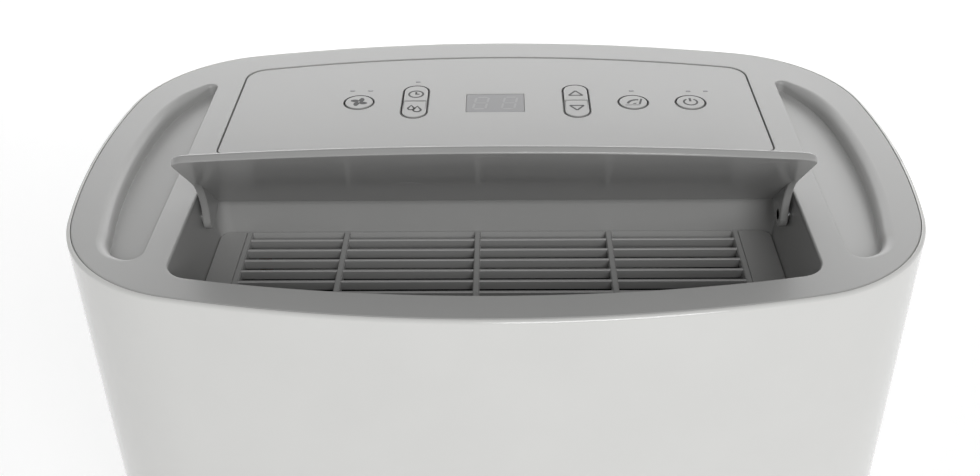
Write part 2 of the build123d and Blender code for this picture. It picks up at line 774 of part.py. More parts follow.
with BuildPart() as display_window:
    with BuildSketch(Plane.XY.offset(panel_under)):
        with Locations((window_x, window_y)):
            Rectangle(window_l, window_w)
    extrude(amount=panel_t - 0.1)
save(display_window.part, "display_window")

with BuildPart() as indicator_lenses:
    with BuildSketch(Plane.XY.offset(panel_under - 1)):
        with Locations(*lens_places):
            SlotOverall(lens_l, lens_w)
    extrude(amount=panel_t + 1.15)
save(indicator_lenses.part, "indicator_lenses")

with BuildPart() as display_board:
    with BuildSketch(Plane.XY.offset(board_z)):
        with Locations((board_x, board_y)):
            Rectangle(board_l, board_w)
    extrude(amount=board_t)
save(display_board.part, "display_board")

with BuildPart() as digit_display:
    with BuildSketch(Plane.XY.offset(board_z + board_t)):
        with Locations((window_x, window_y)):
            Rectangle(window_l - 1, window_w - 1)
    extrude(amount=panel_under - board_z - board_t - 0.2)
save(digit_display.part, "digit_display")

key_top = panel_top + key_proud
flange_top = panel_under - gap
switch_top = board_z + board_t + switch_h
key_places = dict(round_keys)
for key_name, (key_x, upper) in pill_keys.items():
    key_places[key_name] = (key_x, pill_divider_y + upper * pill_l / 4)

for key_name, (key_x, key_y) in key_places.items():
    with BuildPart() as key:
        if key_name in round_keys:
            with BuildSketch(Plane.XY.offset(flange_top)):
                with Locations((key_x, key_y)):
                    Circle(key_round_r - key_gap)
            extrude(amount=key_top - flange_top)
            fillet(key.faces().sort_by(Axis.Z)[-1].edges(), 0.4)
            with BuildSketch(Plane.XY.offset(flange_top - key_flange_t)):
                with Locations((key_x, key_y)):
                    Circle(key_round_r + key_flange_w)
            extrude(amount=key_flange_t)
        else:
            half = pill_keys[key_name][1]
            with BuildSketch(Plane.XY.offset(flange_top)):
                with Locations((key_x, pill_divider_y)):
                    add(pill_plan(half, key_gap, key_gap / 2))
            extrude(amount=key_top - flange_top)
            fillet(key.faces().sort_by(Axis.Z)[-1].edges(), 0.4)
            with BuildSketch(Plane.XY.offset(flange_top - key_flange_t)):
                with Locations((key_x, pill_divider_y)):
                    add(pill_plan(half, -key_flange_w, key_gap / 2))
            extrude(amount=key_flange_t)
        with BuildSketch(Plane.XY.offset(switch_top + key_travel + gap)):
            with Locations((key_x, key_y)):
                Circle(key_stem_r)
        extrude(amount=flange_top - key_flange_t - switch_top - key_travel - gap)
        with BuildSketch(Plane.XY.offset(switch_top - gap)):
            with Locations((key_x, key_y)):
                Circle(key_nub_r)
        extrude(amount=key_travel + 2 * gap)
    save(key.part, key_name)

with BuildPart() as tact_switches:
    with BuildSketch(Plane.XY.offset(board_z + board_t)):
        with Locations(*key_places.values()):
            Rectangle(switch_l, switch_l)
    extrude(amount=switch_h)
    with BuildSketch(Plane.XY.offset(switch_top)):
        with Locations(*key_places.values()):
            Circle(key_nub_r + gap)
    extrude(amount=-(key_travel + 2 * gap + 0.1), mode=Mode.SUBTRACT)
save(tact_switches.part, "tact_switches")


# ---- Fan: scroll, wheel, motor --------------------------------------------------------------
scroll_top = ledge_top - ledge_t - gap
scroll_deep = scroll_back - scroll_front


def scroll_plan(inset):
    """Face of the scroll: a round belly under a duct that widens towards the top."""
    belly = scroll_r - inset
    with BuildSketch(Plane.XZ) as face:
        with Locations((0, fan_z)):
            Circle(belly)
        with BuildLine():
            Polyline((-belly, fan_z), (-scroll_half_top + inset, scroll_top + 1),
                     (scroll_half_top - inset, scroll_top + 1), (belly, fan_z), close=True)
        make_face()
    return face.sketch


with BuildPart() as fan_scroll:
    with BuildSketch(Plane.XZ.offset(-scroll_back)):
        add(scroll_plan(0))
    extrude(amount=scroll_deep)
    with BuildSketch(Plane.XZ.offset(-scroll_back + scroll_wall)):
        add(scroll_plan(scroll_wall))
    extrude(amount=scroll_deep - 2 * scroll_wall, mode=Mode.SUBTRACT)
    box_between((-width / 2, scroll_front - 1, scroll_top), (width / 2, scroll_back + 1, scroll_top + 9),
                Mode.SUBTRACT)
    with BuildSketch(Plane.XZ.offset(-scroll_back)):
        with Locations((0, fan_z)):
            Circle(inlet_r)
    extrude(amount=scroll_wall, mode=Mode.SUBTRACT)
    with BuildSketch(Plane.XZ.offset(-scroll_front)):
        with Locations((0, fan_z)):
            Circle(2 * fan_shaft_r)
    extrude(amount=-scroll_wall, mode=Mode.SUBTRACT)
save(fan_scroll.part, "fan_scroll")

with BuildPart() as fan_wheel:
    with BuildSketch(Plane.XZ.offset(-fan_front)):
        with Locations((0, fan_z)):
            Circle(fan_r)
    extrude(amount=-2)
    with BuildSketch(Plane.XZ.offset(-fan_front)):
        with Locations((0, fan_z)):
            Circle(fan_hub_r)
    extrude(amount=-16)
    with BuildSketch(Plane.XZ.offset(-fan_front)):
        with Locations((0, fan_z)):
            with PolarLocations(fan_r - 9, fan_blades):
                Rectangle(17, 1.6, rotation=-38)
    extrude(amount=-fan_l)
    with BuildSketch(Plane.XZ.offset(-fan_front - fan_l + 3)):
        with Locations((0, fan_z)):
            Circle(fan_r)
            Circle(fan_r - 6, mode=Mode.SUBTRACT)
    extrude(amount=-3)
    with BuildSketch(Plane.XZ.offset(-fan_front)):
        with Locations((0, fan_z)):
            Circle(fan_shaft_r + fit)
    extrude(amount=-13, mode=Mode.SUBTRACT)
save(fan_wheel.part, "fan_wheel")

with BuildPart() as fan_motor:
    with BuildSketch(Plane.XZ.offset(-scroll_front)):
        with Locations((0, fan_z)):
            Circle(fan_motor_r)
    extrude(amount=fan_motor_l)
    fillet(fan_motor.faces().sort_by(Axis.Y)[0].edges(), 4)
    with BuildSketch(Plane.XZ.offset(-scroll_front)):
        with Locations((0, fan_z)):
            Circle(fan_shaft_r)
    extrude(amount=-(fan_front - scroll_front + 12))
save(fan_motor.part, "fan_motor")


# ---- Air shroud from the condenser to the scroll's inlet -----------------------------------
shroud_back = condenser_y - gap
shroud_front = scroll_back + gap
with BuildPart() as air_shroud:
    with BuildSketch(Plane.XZ.offset(-shroud_back)):
        with Locations((0, (coil_low + coil_high) / 2)):
            Rectangle(2 * coil_half, coil_high - coil_low)
    with BuildSketch(Plane.XZ.offset(-shroud_front)):
        with Locations((0, fan_z)):
            Circle(inlet_r + shroud_t)
    loft()
    with BuildSketch(Plane.XZ.offset(-shroud_back)):
        with Locations((0, (coil_low + coil_high) / 2)):
            Rectangle(2 * (coil_half - shroud_t), coil_high - coil_low - 2 * shroud_t)
    with BuildSketch(Plane.XZ.offset(-shroud_front)):
        with Locations((0, fan_z)):
            Circle(inlet_r)
    loft(mode=Mode.SUBTRACT)
save(air_shroud.part, "air_shroud")


# ---- Coils: fin pack, end plates, tubes with return bends ------------------------------------
def build_coil(front_y, name):
    """A fin pack between two end plates, with a serpentine tube that bends back at each end."""
    rows = [coil_low + (coil_high - coil_low) * (i + 0.5) / tube_rows for i in range(tube_rows)]
    mid_y = front_y + coil_t / 2
    pack_half = coil_half - 10
    with BuildPart() as coil:
        box_between((-pack_half, front_y + 2, coil_low + 2), (pack_half, front_y + coil_t - 2, coil_high - 2))
        for end_x in (-pack_half - 1.5, pack_half):
            box_between((end_x, front_y, coil_low), (end_x + 1.5, front_y + coil_t, coil_high))
        for row in rows:
            with BuildSketch(Plane.YZ.offset(-pack_half - 4)):
                with Locations((mid_y, row)):
                    Circle(tube_r)
            extrude(amount=2 * pack_half + 8)
        for i in range(tube_rows - 1):
            side = -1 if i % 2 else 1
            with BuildLine():
                bend_x = side * (pack_half + 4)
                reach = (rows[1] - rows[0]) / 2
                ThreePointArc((bend_x, mid_y, rows[i]), (bend_x + side * 9, mid_y, rows[i] + reach),
                              (bend_x, mid_y, rows[i + 1]))
            with BuildSketch(Plane(origin=(bend_x, mid_y, rows[i]), z_dir=(side, 0, 0))):
                Circle(tube_r - 0.1)
            sweep()
    save(coil.part, name)
    return rows


coil_rows = build_coil(condenser_y, "condenser")
build_coil(evaporator_y, "evaporator")


# ---- Refrigerant pipes ---------------------------------------------------------------------
coil_end_x = -coil_half + 10 - 4
condenser_mid = condenser_y + coil_t / 2
evaporator_mid = evaporator_y + coil_t / 2
stub_top = comp_high + comp_stub_h
far_x = -155.0
near_x = -140.0
liquid_x = -127.0
discharge_x = comp_x - comp_stub_x
suction_x = comp_x + comp_stub_x
pipe_routes = (
    # hot gas from the compressor up the left side to the condenser's top row
    ((discharge_x, comp_y, stub_top), (discharge_x, comp_y, 268), (far_x, -20, 300), (far_x, condenser_mid, 335),
     (far_x, condenser_mid, coil_rows[-1]), (coil_end_x, condenser_mid, coil_rows[-1])),
    # cold gas from the evaporator's top row back to the compressor
    ((coil_end_x, evaporator_mid, coil_rows[-1]), (near_x, evaporator_mid, coil_rows[-1]),
     (near_x, evaporator_mid, 250), (near_x, -5, 248), (suction_x, comp_y, 256), (suction_x, comp_y, stub_top)),
    # liquid line between the bottom rows
    ((coil_end_x, condenser_mid, coil_rows[0]), (liquid_x, condenser_mid, coil_rows[0]),
     (liquid_x, evaporator_mid, coil_rows[0]), (coil_end_x, evaporator_mid, coil_rows[0])),
)
pipe_bends = (12, 10, 6)

with BuildPart() as refrigerant_pipes:
    for route, bend in zip(pipe_routes, pipe_bends):
        with BuildLine() as run:
            FilletPolyline(*route, radius=bend)
        with BuildSketch(Plane(origin=run.line @ 0, z_dir=run.line % 0)):
            Circle(tube_r)
        sweep()
save(refrigerant_pipes.part, "refrigerant_pipes")


# ---- Compressor on three rubber grommets ----------------------------------------------------
with BuildPart() as compressor:
    with BuildSketch(Plane(origin=(comp_x, comp_y, 0), x_dir=(1, 0, 0), z_dir=(0, -1, 0))):
        with Locations((comp_r / 2, (comp_low + comp_high) / 2)):
            profile = Rectangle(comp_r, comp_high - comp_low)
        fillet(profile.vertices().group_by(Axis.X)[-1], comp_dome)
    revolve(axis=Axis((comp_x, comp_y, 0), (0, 0, 1)))
    with BuildSketch(Plane.XY.offset(comp_low - comp_foot_t)):
        with Locations((comp_x, comp_y)):
            Circle(0.6 * comp_r)
        for foot_x, foot_y in grommet_places:
            with Locations((foot_x, foot_y)):
                Circle(grommet_r + 3)
        make_hull()
        with Locations(*grommet_places):
            Circle(grommet_neck_r + fit, mode=Mode.SUBTRACT)
    extrude(amount=comp_foot_t)
    with BuildSketch(Plane.XY.offset(comp_low)):
        with Locations((comp_x, comp_y)):
            Circle(0.6 * comp_r)
    extrude(amount=comp_dome)
    for stub_x in (discharge_x, suction_x):
        with BuildSketch(Plane.XY.offset(comp_high - comp_dome)):
            with Locations((stub_x, comp_y)):
                Circle(tube_r)
        extrude(amount=comp_dome + comp_stub_h)
    box_between((comp_x + comp_r - 4, comp_y - 15, 130), (comp_x + comp_r + 12, comp_y + 15, 175))
save(compressor.part, "compressor")

with BuildPart() as compressor_grommets:
    for low, tall, radius in ((base_top, comp_low - comp_foot_t - base_top, grommet_r),
                              (comp_low - comp_foot_t, comp_foot_t, grommet_neck_r),
                              (comp_low, 2.5, grommet_r)):
        with BuildSketch(Plane.XY.offset(low)):
            with Locations(*grommet_places):
                Circle(radius)
        extrude(amount=tall)
    with BuildSketch(Plane.XY.offset(base_top)):
        with Locations(*grommet_places):
            Circle(peg_r + fit)
    extrude(amount=comp_low + 2.5 - base_top, mode=Mode.SUBTRACT)
save(compressor_grommets.part, "compressor_grommets")

with BuildPart() as run_capacitor:
    with BuildSketch(Plane.XY.offset(base_top)):
        with Locations((0, -50)):
            Circle(capacitor_r)
    extrude(amount=capacitor_h)
    fillet(run_capacitor.faces().sort_by(Axis.Z)[-1].edges(), 2)
    with BuildSketch(Plane.XY.offset(base_top + capacitor_h)):
        with Locations((-6, -50), (6, -50)):
            Rectangle(0.8, 6.3)
    extrude(amount=8)
save(run_capacitor.part, "run_capacitor")

with BuildPart() as control_box:
    box_between(box_low, box_high)
    fillet(control_box.edges().filter_by(Axis.Z), 4)
    box_between(tuple(v + box_wall for v in box_low),
                (box_high[0] - box_wall, box_high[1] - box_wall, box_high[2] + 1), Mode.SUBTRACT)
    with BuildSketch(Plane.XY.offset(base_top)):
        with Locations((box_low[0] + 8, box_low[1] + 8), (box_low[0] + 8, box_high[1] - 8),
                       (box_high[0] - 8, box_high[1] - 8)):
            Circle(5)
    extrude(amount=box_low[2] - base_top)
save(control_box.part, "control_box")

with BuildPart() as control_board:
    board_face = box_high[1] - box_wall - 6
    box_between((box_low[0] + 6, board_face - board_t, box_low[2] + box_wall),
                (box_high[0] - 6, board_face, box_high[2] - 8))
    box_between((box_low[0] + 16, board_face - 32, box_low[2] + 20),
                (box_low[0] + 50, board_face - board_t, box_low[2] + 50))
    with BuildSketch(Plane.XZ.offset(-board_face + board_t)):
        with Locations((box_high[0] - 26, box_low[2] + 40), (box_high[0] - 26, box_low[2] + 70)):
            Circle(9)
    extrude(amount=22)
save(control_board.part, "control_board")


# ---- Partition with its shelf, drip tray, spigot, gland --------------------------------------
with BuildPart() as partition:
    box_between((-tank_half - 15, partition_y, base_top), (tank_half + 15, partition_y + partition_t, shelf_z))
    box_between((-tray_half - 2, partition_y, shelf_z), (tray_half + 2, tray_back + 2, shelf_z + shelf_t))
    with BuildSketch(Plane.XY.offset(shelf_z)):
        with Locations((0, fill_y)):
            Circle(spout_r + gap)
    extrude(amount=shelf_t, mode=Mode.SUBTRACT)
save(partition.part, "partition")

tray_low = shelf_z + shelf_t
with BuildPart() as drip_tray:
    box_between((-tray_half, tray_front, tray_low), (tray_half, tray_back, tray_low + tray_h))
    fillet(drip_tray.edges().filter_by(Axis.Z), 6)
    box_between((-tray_half + tray_wall, tray_front + tray_wall, tray_low + tray_wall),
                (tray_half - tray_wall, tray_back - tray_wall, tray_low + tray_h), Mode.SUBTRACT)
    for rib_x in (-coil_half + 9.25, coil_half - 9.25):
        box_between((rib_x - 2, tray_front + tray_wall, tray_low + tray_wall),
                    (rib_x + 2, tray_back - tray_wall, coil_low))
    with BuildSketch(Plane.XY.offset(tank_high + lid_t + 2)):
        with Locations((0, fill_y)):
            Circle(spout_r)
    extrude(amount=tray_low + tray_wall - tank_high - lid_t - 2)
    with BuildSketch(Plane.XY.offset(tank_high + lid_t + 2)):
        with Locations((0, fill_y)):
            Circle(spout_bore)
    extrude(amount=tray_low + tray_wall - tank_high - lid_t - 2, mode=Mode.SUBTRACT)
    with BuildSketch(Plane.XZ.offset(-tray_back)):
        with Locations((spigot_x, spigot_z)):
            Circle(spigot_bore)
    extrude(amount=tray_wall, mode=Mode.SUBTRACT)
save(drip_tray.part, "drip_tray")

spigot_end = depth / 2 - 0.2
with BuildPart() as drain_spigot:
    with BuildSketch(Plane.XZ.offset(-tray_back)):
        with Locations((spigot_x, spigot_z)):
            Circle(spigot_flange_r)
    extrude(amount=-(spigot_end - spigot_l - tray_back))
    with BuildSketch(Plane.XZ.offset(-spigot_end + spigot_l)):
        with Locations((spigot_x, spigot_z)):
            Circle(spigot_r)
    extrude(amount=-spigot_l)
    with BuildSketch(Plane.XZ.offset(-tray_back)):
        with Locations((spigot_x, spigot_z)):
            Circle(spigot_bore)
    extrude(amount=-(spigot_end - tray_back), mode=Mode.SUBTRACT)
save(drain_spigot.part, "drain_spigot")

with BuildPart() as cord_gland:
    with BuildSketch(Plane.XZ.offset(-gland_in)):
        with Locations((gland_x, gland_z)):
            Circle(spigot_flange_r + 2.5)
    extrude(amount=-2)
    with BuildSketch(Plane.XZ.offset(-gland_in - 2)):
        with Locations((gland_x, gland_z)):
            Circle(spigot_flange_r)
    extrude(amount=-(gland_out - gland_in - 2))
    fillet(cord_gland.faces().sort_by(Axis.Y)[-1].edges(), 2)
    with BuildSketch(Plane.XZ.offset(-gland_in)):
        with Locations((gland_x, gland_z)):
            Circle(gland_bore)
    extrude(amount=-(gland_out - gland_in), mode=Mode.SUBTRACT)
save(cord_gland.part, "cord_gland")


# ---- Water tank, its lid with the float's bracket, the float, the float switch ---------------
def tank_plan(inset, case_inset):
    """Plan of the tank: three straight sides, and the case's own curve at the back."""
    with BuildSketch() as sketch:
        with Locations((0, tank_front + inset)):
            Rectangle(2 * (tank_half - inset), depth, align=(Align.CENTER, Align.MIN))
        fillet(sketch.vertices().group_by(Axis.Y)[0], 8 - inset)
        add(plan(case_inset), mode=Mode.INTERSECT)
    return sketch.sketch


with BuildPart() as water_tank:
    with BuildSketch(Plane.XY.offset(tank_low)):
        add(tank_plan(0, 0))
    extrude(amount=tank_high - tank_low)
    with BuildSketch(Plane.XY.offset(tank_low + tank_wall)):
        add(tank_plan(tank_wall, tank_wall))
    extrude(amount=tank_high - tank_low - tank_wall, mode=Mode.SUBTRACT)
    grip_back = depth / 2 - grip_deep
    with BuildSketch(Plane.XY.offset(grip_low - tank_wall)):
        with Locations((0, grip_back - tank_wall)):
            Rectangle(2 * (grip_half + tank_wall), depth, align=(Align.CENTER, Align.MIN))
        add(plan(tank_wall / 2), mode=Mode.INTERSECT)
    extrude(amount=grip_high - grip_low + 2 * tank_wall)
    with BuildSketch(Plane.XY.offset(grip_low)):
        with Locations((0, grip_back)):
            Rectangle(2 * grip_half, depth, align=(Align.CENTER, Align.MIN))
    extrude(amount=grip_high - grip_low, mode=Mode.SUBTRACT)
save(water_tank.part, "water_tank")

with BuildPart() as tank_lid:
    with BuildSketch(Plane.XY.offset(tank_high)):
        add(tank_plan(0.5, 0.5))
        with Locations((0, fill_y)):
            RectangleRounded(fill_l, fill_w, 6, mode=Mode.SUBTRACT)
    extrude(amount=lid_t)
    ear_low = float_z - 7
    for ear_x in (float_x - float_half - ear_plate_t - gap, float_x + float_half + gap):
        box_between((ear_x, float_y - 5, ear_low), (ear_x + ear_plate_t, float_y + 12, tank_high))
    box_between((float_x - float_half - gap, float_y + 8, ear_low),
                (float_x + float_half + gap, float_y + 12, float_z - 2 - 0.5))
    with BuildSketch(Plane.YZ.offset(float_x - float_half - ear_plate_t - 1)):
        with Locations((float_y, float_z)):
            Circle(float_pin_r + fit)
    extrude(amount=2 * float_half + 2 * ear_plate_t + 2, mode=Mode.SUBTRACT)
save(tank_lid.part, "tank_lid")

with BuildPart() as tank_float:
    pin_half = float_half + ear_plate_t + gap
    with BuildSketch(Plane.YZ.offset(float_x - pin_half)):
        with Locations((float_y, float_z)):
            Circle(float_pin_r)
    extrude(amount=2 * pin_half)
    with BuildSketch(Plane.YZ.offset(float_x - float_half)):
        with Locations((float_y, float_z)):
            Circle(2 * float_pin_r)
    extrude(amount=2 * float_half)
    box_between((float_x - float_half, float_y, float_z - 2), (float_x + float_half, float_y + 17, float_z + 2))
    box_between((float_x - 20, float_y + 15, float_z + 2 - float_h),
                (float_x + 20, float_y + 15 + float_l, float_z + 2))
    fillet(tank_float.edges().filter_by(Axis.Z).filter_by(lambda edge: edge.length > float_h - 1), 4)
save(tank_float.part, "tank_float")

with BuildPart() as float_switch:
    box_between((float_x - 12, partition_y - 8, float_z - 16), (float_x + 12, partition_y, float_z + 16))
    fillet(float_switch.edges().filter_by(Axis.Y), 2)
save(float_switch.part, "float_switch")


# ---- Intake grille with its air filter -------------------------------------------------------
with BuildPart() as intake_grille:
    with BuildSketch(Plane.XY.offset(intake_low)):
        add(plan(0))
        add(plan(intake_t), mode=Mode.SUBTRACT)
        with Locations((0, 60)):
            Rectangle(2 * intake_half, depth, align=(Align.CENTER, Align.MIN), mode=Mode.INTERSECT)
    extrude(amount=intake_high - intake_low)
    with BuildSketch(Plane.XY.offset(filter_low + 4)):
        for rib_x in (-60, 60):
            with Locations((rib_x, filter_front + filter_t)):
                Rectangle(3, depth, align=(Align.CENTER, Align.MIN))
        add(plan(intake_t / 2), mode=Mode.INTERSECT)
    extrude(amount=filter_high - filter_low - 8)
    slot_pitch = (filter_high - filter_low - 14) / intake_slots
    bay = (2 * filter_half - 8) / 4
    with BuildSketch(Plane.XZ.offset(-rear_reach)):
        for row in range(intake_slots):
            for column in range(4):
                with Locations(((column - 1.5) * bay, filter_low + 7 + (row + 0.5) * slot_pitch)):
                    SlotOverall(bay - 5, 0.52 * slot_pitch)
    extrude(amount=rear_reach - filter_front - filter_t - 0.1, mode=Mode.SUBTRACT)
    box_between((-notch_half, 60, intake_high - notch_h), (notch_half, rear_reach, intake_high), Mode.SUBTRACT)
save(intake_grille.part, "intake_grille")

with BuildPart() as air_filter:
    box_between((-filter_half, filter_front, filter_low), (filter_half, filter_front + filter_t, filter_high))
    fillet(air_filter.edges().filter_by(Axis.Y), 5)
    bay_l = (2 * filter_half - 5 * filter_border) / 4
    bay_h = (filter_high - filter_low - 4 * filter_border) / 3
    with BuildSketch(Plane.XZ.offset(-filter_front)):
        with Locations((0, (filter_low + filter_high) / 2)):
            with GridLocations(bay_l + filter_border, bay_h + filter_border, 4, 3):
                Rectangle(bay_l, bay_h)
    extrude(amount=-(filter_t - mesh_t) / 2, mode=Mode.SUBTRACT)
    with BuildSketch(Plane.XZ.offset(-filter_front - filter_t)):
        with Locations((0, (filter_low + filter_high) / 2)):
            with GridLocations(bay_l + filter_border, bay_h + filter_border, 4, 3):
                Rectangle(bay_l, bay_h)
    extrude(amount=(filter_t - mesh_t) / 2, mode=Mode.SUBTRACT)
save(air_filter.part, "air_filter")
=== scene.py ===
import json
from math import atan2, cos, degrees, radians, sin, sqrt

import bmesh
import bpy
import numpy as np
from mathutils import Matrix, Vector
from mathutils.geometry import tessellate_polygon


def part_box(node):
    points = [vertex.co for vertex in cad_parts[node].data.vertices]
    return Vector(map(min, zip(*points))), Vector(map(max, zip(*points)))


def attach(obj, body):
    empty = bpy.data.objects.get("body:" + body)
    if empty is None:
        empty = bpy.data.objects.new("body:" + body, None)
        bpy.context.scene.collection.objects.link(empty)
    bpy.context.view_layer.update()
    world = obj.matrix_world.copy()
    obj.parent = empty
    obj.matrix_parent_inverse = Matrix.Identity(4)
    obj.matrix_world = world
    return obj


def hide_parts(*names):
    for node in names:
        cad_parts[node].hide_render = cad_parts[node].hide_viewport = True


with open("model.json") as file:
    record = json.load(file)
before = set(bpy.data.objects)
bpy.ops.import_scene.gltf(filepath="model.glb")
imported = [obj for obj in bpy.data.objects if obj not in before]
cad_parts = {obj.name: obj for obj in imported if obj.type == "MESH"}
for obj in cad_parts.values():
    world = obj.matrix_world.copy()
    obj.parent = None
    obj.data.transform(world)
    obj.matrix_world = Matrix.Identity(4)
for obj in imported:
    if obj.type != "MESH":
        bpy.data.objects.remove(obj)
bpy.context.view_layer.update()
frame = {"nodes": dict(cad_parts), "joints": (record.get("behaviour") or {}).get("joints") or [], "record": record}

bl_info = {
    "name": "Dehumidifier looks",
    "version": (1, 0, 0),
    "blender": (4, 5, 0),
    "location": "View3D > Sidebar > Dehumidifier",
    "description": "Shells, deck, outlet, keys and fittings of a compressor dehumidifier",
    "category": "Object",
}

MM = 0.001


# ---- Places read from the frame, in millimetres ------------------------------------------------
def span(node):
    """Lowest and highest corner of a CAD node, in millimetres."""
    low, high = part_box(node)
    return np.array(low) / MM, np.array(high) / MM


SHELL_LOW, SHELL_HIGH = span("front_shell")
DECK_Z = span("top_deck")[1][2]
HALF_X = span("rear_shell")[1][0]
HALF_Y = -SHELL_LOW[1]
PANEL_TOP = span("control_panel")[1][2]
HINGE_Y, HINGE_Z = (
    value / MM for value in next(joint for joint in frame["joints"] if joint["name"] == "flap_hinge")["pos_m"][1:])
BODY_OF = {name: body for body, names in frame["record"]["behaviour"]["bodies"].items() for name in names}
SLOT_OF = {name: node.data.materials[0].name.split(".")[0] for name, node in frame["nodes"].items()}
KEYS = ("fan_key", "timer_key", "humidity_key", "up_key", "down_key", "louver_key", "power_key")
ROUND_KEYS = ("fan_key", "louver_key", "power_key")
UPPER_KEYS = ("timer_key", "up_key")
# Indicator lenses, the grille's inner ribs, and the round marks that the mould's pins leave under the flap.
LENS_LENGTH, LENS_WIDTH = 2.6, 1.5
LENS_PLACES = ((-75.6, 70.0), (-66.0, 70.0), (-41.4, 80.2), (71.5, 68.3), (101.2, 67.3), (110.3, 67.3))
RIBS_X = (-72.0, -8.5, 55.0)
MARK_RADIUS, MARK_HEIGHT, MARK_PLACES = 8.0, 0.03, ((0, -99), (116, -87), (-38, -52))


# ---- Sizes and colours a user would change -------------------------------------------------------
def millimetres(label, text, value):
    """A length property in millimetres."""
    return bpy.props.FloatProperty(name=label, description=text, default=value, min=0.0, unit="NONE")


class CaseSizes(bpy.types.PropertyGroup):
    """Plan radii and edges of the case and deck, in millimetres."""

    front_bow: millimetres("Front bow", "Plan radius of the front and back", 595.0)
    side_bow: millimetres("Side bow", "Plan radius of the sides", 350.0)
    corner_bow: millimetres("Corner bow", "Plan radius of the corners", 73.0)
    wall: millimetres("Wall", "Thickness of the shells", 2.5)
    rim: millimetres("Rim", "Thin top of the shell that shows round the deck", 1.8)
    rim_round: millimetres("Rim rounding", "Rounding of the rim's outer edge", 1.65)
    rim_step: millimetres("Rim step", "Height of the thinned top of the shell", 6.0)
    deck_seam: millimetres("Deck seam", "Gap between the deck and the rim", 0.25)
    deck_edge: millimetres("Deck edge", "Rounding of the deck's outer edge", 0.5)
    deck_skin: millimetres("Deck skin", "Thickness of the deck", 1.4)


class OutletSizes(bpy.types.PropertyGroup):
    """The outlet well, in millimetres."""

    half: millimetres("Half width", "Half width of the well at the deck", 135.5)
    front: bpy.props.FloatProperty(name="Front", description="Front edge on the centre line", default=-111.8)
    lip: bpy.props.FloatProperty(name="Lip", description="Edge of the deck over the back of the well", default=-18.0)
    back: bpy.props.FloatProperty(name="Back", description="Back wall of the well", default=-9.0)
    bow: millimetres("Bow", "Plan radius of the front edge", 645.0)
    corner: millimetres("Corner", "Rounding of the front corners", 11.0)
    back_corner: millimetres("Back corner", "Rounding of the back corners below the lip", 8.0)
    edge: millimetres("Edge", "Rounding of the upper edge", 1.0)
    lip_thick: millimetres("Lip thickness", "Thickness of the lip over the well", 2.2)
    depth: millimetres("Depth", "Deck to the grille", 36.0)
    seat: millimetres("Seat", "From the grille's top to the ledge that it stands on", 7.0)
    draft: bpy.props.FloatProperty(name="Draft", description="Slope of the walls", default=radians(3.2),
                                   subtype="ANGLE", unit="ROTATION")


class PocketSizes(bpy.types.PropertyGroup):
    """The shallow pockets at the deck's sides, in millimetres."""

    inner: millimetres("Inner edge", "Straight inner edge from the centre", 148.4)
    outer: millimetres("Outer edge", "Widest reach of the curved edge", 173.2)
    back: millimetres("Back", "Rear tip", 82.0)
    front: millimetres("Front", "Front heel, towards the user", 87.0)
    deep: millimetres("Depth", "Depth at the outer wall", 8.5)
    shallow: millimetres("Shallow depth", "Depth at the straight edge", 5.0)
    tip: millimetres("Tip", "Rounding of the rear tip", 3.0)
    heel: millimetres("Heel", "Rounding of the front tip", 5.0)
    lip: millimetres("Lip", "Rounding of the upper edge on the outer side", 4.5)
    brink: millimetres("Brink", "Rounding of the upper edge on the straight side", 0.7)
    blend: millimetres("Blend", "Width over which one rounding turns into the other", 14.0)
    base: millimetres("Base", "Rounding at the floor", 0.2)


class PanelSizes(bpy.types.PropertyGroup):
    """The control panel and its keys, in millimetres."""

    half: millimetres("Half width", "Half width of the panel's recess", 135.0)
    back: millimetres("Back", "Back edge on the centre line", 110.0)
    front: millimetres("Front", "Straight front edge", 3.0)
    bow: millimetres("Bow", "Plan radius of the back edge", 580.0)
    corner: millimetres("Corner", "Rounding of the rear corners", 12.0)
    front_corner: millimetres("Front corner", "Rounding of the front corners", 4.0)
    groove: millimetres("Groove", "Groove round the panel", 0.7)
    edge: millimetres("Edge", "Rounding of the panel's edge", 0.35)
    thick: millimetres("Thickness", "Thickness of the panel", 2.2)
    round_key: millimetres("Round key", "Radius of a round key's opening", 7.8)
    pair_length: millimetres("Key pair length", "Length of the opening that two keys share", 36.5)
    pair_width: millimetres("Key pair width", "Width of the opening that two keys share", 13.6)
    pair_y: millimetres("Key pair place", "Middle of the key pairs behind the case's middle", 57.0)
    key_gap: millimetres("Key gap", "Ring between a key and the panel", 0.6)
    flange: millimetres("Flange", "How far a key's flange reaches past its opening", 1.2)
    flange_drop: millimetres("Flange drop", "From a key's top down to its flange", 3.1)
    # The ring is dark ink on the edge of each key opening: painted shade for the gap round the key.
    ring: millimetres("Ring", "Width of the printed ring round an opening", 0.44)
    key_edge: millimetres("Key edge", "Rounding of a key's upper edge", 0.45)
    ink: millimetres("Ink", "Thickness of the printed signs", 0.03)
    line: millimetres("Line", "Width of a sign's lines", 1.05)


class FlapSizes(bpy.types.PropertyGroup):
    """The flap, drawn shut and then turned open, in millimetres."""

    half: millimetres("Half width", "Half width of the flap", 134.0)
    thick: millimetres("Thickness", "Thickness of the plate", 3.5)
    front: millimetres("Front", "Front edge from the middle, when shut", 111.0)
    back: millimetres("Back", "Rear edge from the middle, when shut", 21.5)
    bow: millimetres("Bow", "Plan radius of the front edge", 643.5)
    corner: millimetres("Corner", "Rounding of the front corners", 9.5)
    upper_edge: millimetres("Upper edge", "Rounding of the upper edge", 1.3)
    lower_edge: millimetres("Lower edge", "Rounding of the lower edge", 0.7)
    ear: millimetres("Ear", "Thickness of the two pivot ears", 3.5)
    boss: millimetres("Boss", "Radius of an ear round the pivot", 5.5)
    pin: millimetres("Pin", "Radius of the left pivot pin", 2.5)
    opened: bpy.props.FloatProperty(name="Opened", description="How far the flap stands open at rest",
                                    default=radians(44.0), subtype="ANGLE", unit="ROTATION")


